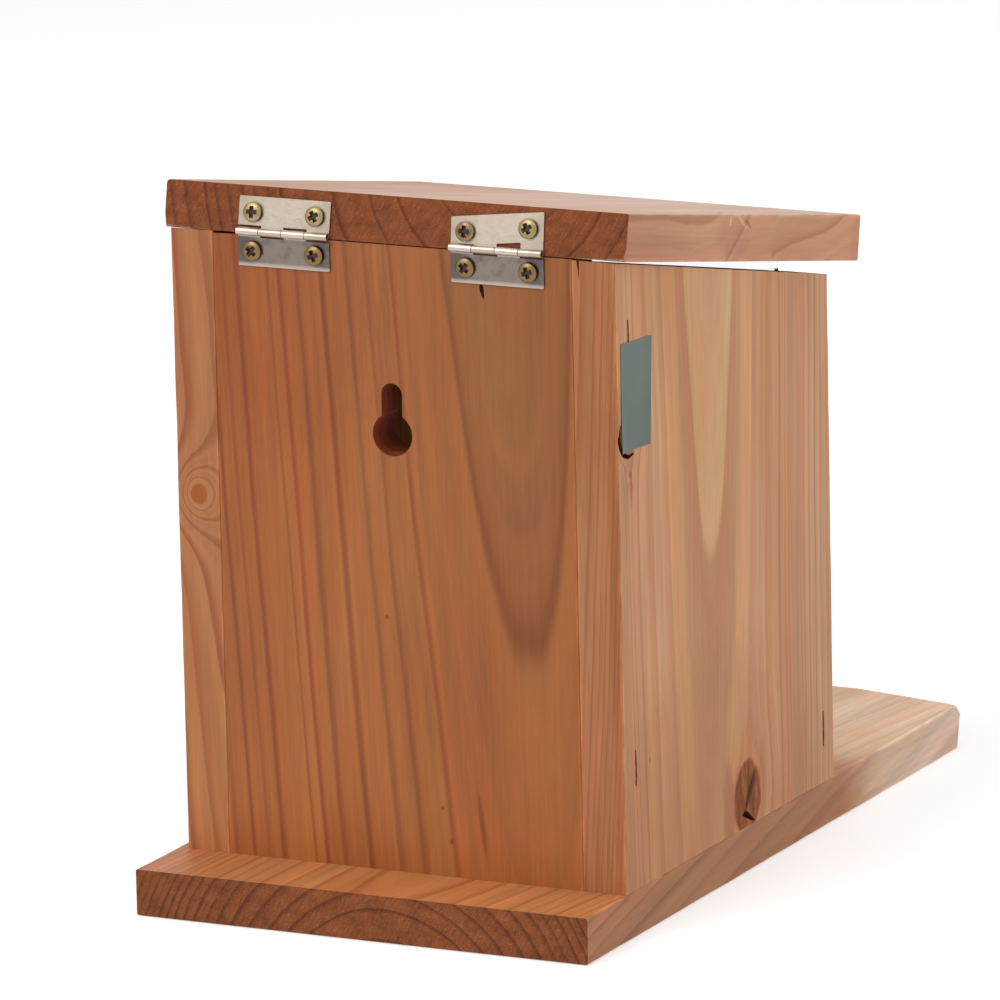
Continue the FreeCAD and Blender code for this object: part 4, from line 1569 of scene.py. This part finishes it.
def staple_tree() -> ShapeTree:
    """Staples of flattened wire: a crown with two bent legs."""
    tree = ShapeTree("wire staples", {"Crown": 11.5, "Leg": 30.0, "Wire": 1.08, "Sink": 0.3, "Bend": 0.9})
    crown, leg, wire, sink, bend = (tree.given[name] for name in ("Crown", "Leg", "Wire", "Sink", "Bend"))
    half = (crown - wire) * 0.5
    top = wire.scaled(-0.5, sink * -1.0)
    back, foot = half * -1.0, top - leg
    corners = [tree.point(x, 0.0, z) for x, z in ((back, foot), (back, top), (half, top), (half, foot))]
    line = tree.out("GeometryNodeMeshLine", {"Count": len(corners)})
    bent = tree.moved(line, tree.chosen(tree.out("GeometryNodeInputIndex"), corners))
    path = tree.out("GeometryNodeMeshToCurve", {0: bent})
    soft = tree.out("GeometryNodeFilletCurve", {"Curve": path, "Radius": bend, "Count": 4}, mode="POLY")
    section = tree.out("GeometryNodeCurvePrimitiveQuadrilateral", {"Width": wire, "Height": wire})
    drawn = {"Curve": soft, "Profile Curve": section, "Fill Caps": True}
    tree.scatter(tree.out("GeometryNodeCurveToMesh", drawn))
    return tree


def facing(z_way: Vector, x_way: Vector, spin: float = 0.0) -> Euler:
    """The turn that points a fastener's own Z and X along two ways, spun round its own axis."""
    turn = Matrix((x_way, z_way.cross(x_way), z_way)).transposed()
    return (turn @ Matrix.Rotation(spin, 3, "Z")).to_euler()


@dataclass
class ButtHinge:
    """A small pressed hinge: two leaves rolled round a pin, each held by two screws.

    Attributes:
        crooked: how far the lid's leaf is turned in its own plane, in degrees.
        burred: whether the head of its first screw is burred.
        spins: how each screw's cross is turned: two in the lid's leaf, two in the body's.
        pin: the pin's Y and Z.
        reach, notch, clear: the heights on a leaf, from the pin, of its free edge, of its knuckles' foot and
            of the lowest place clear of the barrel.
        still, hub, drift: the height up to which a crooked leaf stays put, the place along the hinge that the
            rest turns about, and the share of the turn that moves it sideways.
        seam: how far a knuckle is rolled round the pin, in degrees.
    """

    side: str
    middle_x: float
    crooked: float = 0.0
    burred: bool = False
    spins: tuple[float, ...] = (0.0, 0.5, 0.9, 0.3)
    pin: Place = (116.75, 211.3279)
    length: float = 31.0
    reach: float = 10.8
    sheet: float = 0.6
    centre_radius: float = 0.95
    notch: float = 1.9
    clear: float = 1.35
    still: float = 0.9
    hub: float = 2.0
    drift: float = 0.35
    gap: float = 0.2
    seam: float = 295.0
    hole_radius: float = 2.0
    hole_height: float = 6.0
    hole_half_spacing: float = 10.5
    corner: float = 0.5

    def build(self, screws: ShapeTree) -> None:
        """Builds both leaves and their screws, and gives the pin its finish."""
        finishes = self.finishes()
        for part, body, own in (("body", Body.BOX, (0, 2)), ("lid", Body.LID, (1, 3))):
            node = f"{self.side}_hinge_{part}_leaf"
            register(self.leaf(node + "_pressed", part, own, finishes[part]), body, Slot.HINGE, node)
            node = f"{self.side}_hinge_{part}_screws"
            heads = screws.make(node + "_cross_head", self.screw_places(part), finishes[f"{part} screws"])
            shade(heads, 30.0)
            register(heads, body, Slot.SCREW, node)
        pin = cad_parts[f"{self.side}_hinge_pin"]
        pin.data.materials.clear()
        pin.data.materials.append(finishes["pin"])

    def finishes(self) -> dict[str, Material]:
        """The hinge's finishes: lit and shaded copies of the nickel and the zinc, with painted shade on the
        body's leaf and screws, and a painted highlight on that leaf's knuckles and edge.
        """
        burred = self.screw_places("lid")[0][0] / MM if self.burred else None
        nickel = {"lid": NickelFinish(f"{self.side} bright nickel", (182, 168, 154), (157, 141, 122), 0.5,
                                      0.30),
                  # painted shade: the body's leaf is a darker copy of the nickel, with a painted highlight on
                  # its knuckles and lower edge
                  "body": NickelFinish(f"{self.side} dull nickel", (130, 118, 109), (82, 77, 76), 0.8, 0.28,
                                       barrel=(190, 177, 165)),
                  "pin": NickelFinish(f"{self.side} pin nickel", (170, 157, 143), (120, 107, 93), 0.5, 0.3)}
        return {**{part: finish.material(self.middle_x) for part, finish in nickel.items()},
                "lid screws": PassivatedFinish(burred).material(),
                # painted shade: the body's screw heads are darker copies of the lid's
                "body screws": PassivatedFinish(dim=(0.67, 0.56, 0.53)).material()}

    def skew(self, x: float, height: float) -> tuple[float, float]:
        """Where the lid leaf's turn in its own plane takes a place, the knuckles staying on the pin."""
        share = max(0.0, min(1.0, (height - self.still) / (self.notch - self.still)))
        angle = math.radians(-self.crooked) * share * share * (3 - 2 * share)
        from_x = x - self.hub
        turned = height * math.cos(angle) + from_x * math.sin(angle)
        if height > self.notch - 0.01:
            turned = max(self.clear, turned)
        return self.hub + from_x * math.cos(angle) - height * math.sin(angle) * self.drift, turned

    def seat(self, part: str, x: float, out: float, height: float) -> Vector:
        """A place on a leaf: along the hinge, out from the pin, and up the leaf, in metres."""
        if part == "lid":
            x, height = self.skew(x, height)
            tilt = LID_SLOPE
            y = out * math.cos(tilt) - height * math.sin(tilt)
            z = out * math.sin(tilt) + height * math.cos(tilt)
        else:
            y, z = out, -height
        return Vector((self.middle_x + x, self.pin[0] + y, self.pin[1] + z)) * MM

    def screw_places(self, part: str) -> list[tuple[Vector, Euler]]:
        """Where the leaf's two screws sit and how they are turned."""
        tilt = LID_SLOPE if part == "lid" else 0.0
        out_way = Vector((0, math.cos(tilt), math.sin(tilt)))
        face = -self.centre_radius + self.sheet / 2
        spins = self.spins[:2] if part == "lid" else self.spins[2:]
        return [(self.seat(part, sign * self.hole_half_spacing, face, self.hole_height),
                 facing(out_way, X, spin)) for sign, spin in zip((1, -1), spins)]

    def strips(self, own: Sequence[int]) -> list[Place]:
        """The start and end of each of the leaf's own knuckles along the hinge."""
        pitch, half = self.length / 4, self.length / 2
        return [(half - (i + 1) * pitch + self.gap / 2, half - i * pitch - self.gap / 2) for i in own]

    def leaf(self, name: str, part: str, own: Sequence[int], material: Material) -> Piece:
        """Presses one leaf from its flat blank.

        Args:
            name: the piece's name.
            part: which leaf.
            own: the numbers of its knuckles, counted from the +X end.
            material: its finish.

        Returns:
            The leaf.
        """
        shape = bmesh.new()
        columns, neck_rows, roll_rows = 5, 4, 26
        strips = sorted(self.strips(own))
        half = self.length / 2
        foot = [(-half, self.notch)]
        for start, end in strips:
            foot += [(start + (end - start) * i / (columns - 1), self.notch) for i in range(columns)]
        foot.append((half, self.notch))
        inset = half - self.corner, self.reach - self.corner
        rim = arc((inset[0], inset[1]), (self.corner,) * 2, 0, 90, 5)
        rim += arc((-inset[0], inset[1]), (self.corner,) * 2, 90, 180, 5)
        flat = {}

        def vert(x: float, height: float) -> bmesh.types.BMVert:
            """The blank's point at a place, made once."""
            key = (round(x, 4), round(height, 4))
            if key not in flat:
                flat[key] = shape.verts.new((x, height, 0.0))
            return flat[key]

        outlines = [foot + rim]
        for sign in (-1, 1):
            hole = (sign * self.hole_half_spacing, self.hole_height)
            outlines.append(arc(hole, (self.hole_radius,) * 2, 0, 345, 24))
        edges = []
        for outline in outlines:
            verts = [vert(*p) for p in outline]
            edges += [shape.edges.new(pair) for pair in zip(verts, verts[1:] + verts[:1])]
        bmesh.ops.triangle_fill(shape, use_beauty=True, edges=edges)
        rolled = self.centre_radius * math.radians(self.seam)
        heights = [self.notch * (1 - i / neck_rows) for i in range(neck_rows + 1)]
        heights += [-rolled * i / roll_rows for i in range(1, roll_rows + 1)]
        for start, end in strips:
            across = [start + (end - start) * i / (columns - 1) for i in range(columns)]
            for upper, lower in zip(heights, heights[1:]):
                for a, b in zip(across, across[1:]):
                    shape.faces.new((vert(a, upper), vert(b, upper), vert(b, lower), vert(a, lower)))
        for (x, height), point in flat.items():
            radius = self.centre_radius
            if height >= 0:
                point.co = self.seat(part, x, -radius, height)
            else:
                angle = math.pi - height / radius
                point.co = self.seat(part, x, radius * math.cos(angle), radius * math.sin(angle))
        bmesh.ops.recalc_face_normals(shape, faces=shape.faces)
        mesh = bpy.data.meshes.new(name)
        shape.to_mesh(mesh)
        shape.free()
        piece = make_object(name, mesh, [material])
        wall = piece.modifiers.new("sheet", "SOLIDIFY")
        wall.thickness, wall.offset, wall.use_even_offset = self.sheet * MM, 0.0, True
        settle(piece)
        outward(piece.data)
        soften = piece.modifiers.new("pressed edges", "BEVEL")
        soften.width, soften.segments, soften.angle_limit = 0.1 * MM, 2, math.radians(45)
        shade(piece, 50.0)
        return piece


@dataclass
class Staples:
    """The staples through the side panels and up through the base, of wire stained by the wood.

    Attributes:
        side_places: where each staple stands in a side panel, as its Y and Z.
    """

    side_places: tuple[Place, ...] = ((107.5, 52.5), (107.5, 185.5), (-30.0, 31.8))
    finish: MottledFinish = MottledFinish(
        "stained galvanised wire", (164, 104, 74), (112, 62, 42), (1.5,) * 3, ragged=0.65, rough=(0.3, 0.4),
        metal=(0.5, 0.2), relief=0.0)

    def build(self, tree: ShapeTree) -> None:
        """Builds the three groups of staples, each in place of its node."""
        groups = {}
        for name, sign in (("left_side_staples", -1), ("right_side_staples", 1)):
            groups[name] = [(Vector((BOX_HALF * sign, y, z)) * MM, facing(X * sign, Z))
                            for y, z in self.side_places]
        groups["base_staples"] = [(Vector((x, y, 0)) * MM, facing(-Z, X if turned else Y))
                                  for x, y, turned in base_staple_places()]
        material = self.finish.material()
        for node, places in groups.items():
            piece = tree.make(node + "_wire", places, material)
            shade(piece, 50.0)
            register(piece, Body.BOX, Slot.STAPLE, node)


# ---- sticker


@dataclass
class BareSticker:
    """A plain grey-green sticker on the left panel, its corners lifting a little."""

    corners: tuple[Place, ...] = ((113.0, 184.8), (91.8, 183.4), (94.2, 150.4), (113.5, 151.2))
    face_x: float = -BOX_HALF
    thickness: float = 0.12
    columns: int = 14
    rows: int = 20

    def build(self) -> Piece:
        """Builds the sticker."""
        top_rear, top_front, low_front, low_rear = (Vector(c) for c in self.corners)
        points, faces = [], []
        for row in range(self.rows + 1):
            t = row / self.rows
            for column in range(self.columns + 1):
                s = column / self.columns
                flat = top_rear.lerp(top_front, s).lerp(low_rear.lerp(low_front, s), t)
                lift = 0.08 + 0.45 * (max(0.0, s - 0.72) / 0.28) ** 2 * (0.55 + 0.45 * t)
                lift += 0.35 * (max(0.0, 0.18 - s) / 0.18) ** 2 * t ** 3
                lift += 0.05 * noise.noise(Vector((s * 4, t * 5, 1.0)))
                points.append(Vector((self.face_x - lift, flat.x, flat.y)) * MM)
        wide = self.columns + 1
        for row in range(self.rows):
            for column in range(self.columns):
                a = row * wide + column
                faces.append((a, a + 1, a + wide + 1, a + wide))
        mesh = bpy.data.meshes.new("bare_sticker")
        mesh.from_pydata([tuple(p) for p in points], [], faces)
        piece = make_object("bare_sticker", mesh, [self.finish()])
        wall = piece.modifiers.new("paper", "SOLIDIFY")
        wall.thickness, wall.offset = self.thickness * MM, 0.0
        settle(piece)
        outward(piece.data)
        shade(piece)
        return register(piece, Body.BOX, None)

    def finish(self) -> Material:
        """Printed paper: a flat tint with faint fibres and a soft fade."""
        surface = Surface("grey green sticker paper")
        place = surface.place()
        fibres = surface.noise(surface.stretched(place, (0.6,) * 3), 4.0, 0.7)
        fade = surface.span(surface.noise(surface.stretched(place, (14,) * 3)), 0.3, 0.7)
        colour = surface.blend(fade, linear((86, 98, 88)), linear((92, 104, 94)))
        return surface.finish({"Base Color": surface.vector("SCALE", colour, fibres.scaled(0.12, 0.94)),
                               "Roughness": fibres.scaled(0.2, 0.42), "Specular IOR Level": 0.3,
                               "Normal": surface.bump(fibres, 0.02)})


# ---- studio


@dataclass
class Studio:
    """The camera, the floor, the lamps and the world.

    Attributes:
        azimuth, elevation, roll: the camera's angles in degrees.
        target, distance: what it looks at and from how far, in millimetres.
        focal: its lens in millimetres, on a 36 mm sensor.
    """

    azimuth: float = 26.28
    elevation: float = 13.10
    roll: float = -1.227
    target: tuple[float, float, float] = (20.27, 3.5, 105.17)
    distance: float = 3152.0
    focal: float = 360.79

    def directions(self) -> tuple[Vector, Vector, Vector]:
        """The camera's right, up and back."""
        turn, rise, roll = (math.radians(a) for a in (self.azimuth, self.elevation, self.roll))
        back = Vector((-math.sin(turn) * math.cos(rise), math.cos(turn) * math.cos(rise), math.sin(rise)))
        right = (-back).cross(Z).normalized()
        up = right.cross(-back)
        return (right * math.cos(roll) + up * math.sin(roll),
                up * math.cos(roll) - right * math.sin(roll), back)

    def build(self) -> None:
        """Builds the studio."""
        self.camera()
        self.floor()
        self.lights()
        settings = bpy.context.scene.view_settings
        settings.view_transform = "Standard"

    def camera(self) -> None:
        """Sets the camera where the photographer stood."""
        right, up, back = self.directions()
        data = bpy.data.cameras.new("camera")
        data.lens, data.sensor_width = self.focal, 36.0
        data.clip_start, data.clip_end = 0.1, 60.0
        camera = bpy.data.objects.new("camera", data)
        bpy.context.scene.collection.objects.link(camera)
        place = Matrix((right, up, back)).transposed().to_4x4()
        place.translation = (Vector(self.target) + back * self.distance) * MM
        camera.matrix_world = place
        bpy.context.scene.camera = camera

    def floor(self) -> None:
        """A wide white floor that keeps the object's shadow; for gloss inside the box that looks out through
        the window it is painted nearly black, a painted shade for the box's inside.
        """
        radius, level, count = 6, -0.0003, 64
        turns = [math.tau * i / count for i in range(count)]
        rim = [(radius * math.cos(turn), radius * math.sin(turn), level) for turn in turns]
        mesh = bpy.data.meshes.new("floor")
        mesh.from_pydata(rim, [], [tuple(range(count))])
        surface = Surface("white floor")
        shown, hidden = self.seen(surface)
        # painted shade: the floor darkens for gloss seen from inside the box through the window
        material = surface.finish({"Base Color": hidden.scaled(-0.76, 0.8), "Roughness": 0.9,
                                   "Specular IOR Level": 0.0, "Emission Color": (1.0, 1.0, 1.0, 1.0),
                                   "Emission Strength": shown * 0.42})
        make_object("floor", mesh, [material])

    def seen(self, bench: Bench) -> tuple[Wire, Wire]:
        """Masks of the rays that show a background.

        Args:
            bench: the tree that asks.

        Returns:
            1 where it shows directly, in gloss or through glass, and 1 for gloss inside the box that looks
            out through its window.
        """
        path = bench.named(bench.add("ShaderNodeLightPath"))
        hidden = path["Is Transmission Ray"] * bench.maths("GREATER_THAN", path["Glossy Depth"], 0.5)
        clear = path["Is Transmission Ray"] - hidden
        shown = bench.maths("MAXIMUM", path["Is Camera Ray"],
                            bench.maths("MAXIMUM", path["Is Glossy Ray"], clear))
        return shown * bench.maths("LESS_THAN", path["Diffuse Depth"], 0.5), hidden

    def lights(self) -> None:
        """Soft boxes to both sides of the camera and one high over the box's front, and a white world that
        lights less from the front.
        """
        right, up, back = self.directions()
        spots = (("key", -right * 1.0 + back * 0.9 + Z * 0.95, 1.9, 1.2, 17.0),
                 ("fill", right * 1.25 + back * 0.45 + Z * 0.55, 2.0, 1.3, 15.0),
                 ("front", -back * 0.5 + right * 0.4 + Z * 1.8, 2.2, 1.4, 6.0))
        middle = Vector(self.target) * MM
        for name, way, distance, size, power in spots:
            data = bpy.data.lights.new(name, "AREA")
            data.shape, data.size, data.energy = "SQUARE", size, power
            lamp = bpy.data.objects.new(name, data)
            bpy.context.scene.collection.objects.link(lamp)
            lamp.location = middle + way.normalized() * distance
            lamp.rotation_euler = way.to_track_quat("Z", "Y").to_euler()
        world = bpy.data.worlds.new("studio")
        world.use_nodes = True
        bpy.context.scene.world = world
        world.node_tree.nodes.clear()
        bench = Bench(world.node_tree)
        way = bench.out("ShaderNodeTexCoord", output="Generated")
        ahead = bench.vector("DOT_PRODUCT", way, (0.0, -1.0, 0.0))
        dim = bench.span(ahead, 0.05, 0.8, 0.63, 0.06)
        strength = bench.span(self.seen(bench)[0], 0.0, 1.0, dim, 1.0, smooth=False)
        sky = bench.out("ShaderNodeBackground", {"Color": (1.0, 1.0, 1.0, 1.0), "Strength": strength})
        bench.add("ShaderNodeOutputWorld", {"Surface": sky})


def main() -> None:
    """Builds the studio and every piece, in order."""
    logging.basicConfig(level=logging.INFO, format="%(message)s")
    Studio().build()
    effects, cuts = Effects(), Cuts()
    BaseBoard().build(effects, cuts)
    SidePanel(-1).build(effects, cuts)
    SidePanel(1, rear_top=210.45).build(effects, cuts)
    BackPanel().build(effects, cuts)
    FrontRail().build(effects)
    LidBoard().build(effects)
    Window().build()
    screws = screw_tree()
    for hinge in (ButtHinge("left", -36.0, crooked=6.2, burred=True), ButtHinge("right", 36.0)):
        hinge.build(screws)
    Staples().build(staple_tree())
    BareSticker().build()


if __name__ == "__main__":
    main()
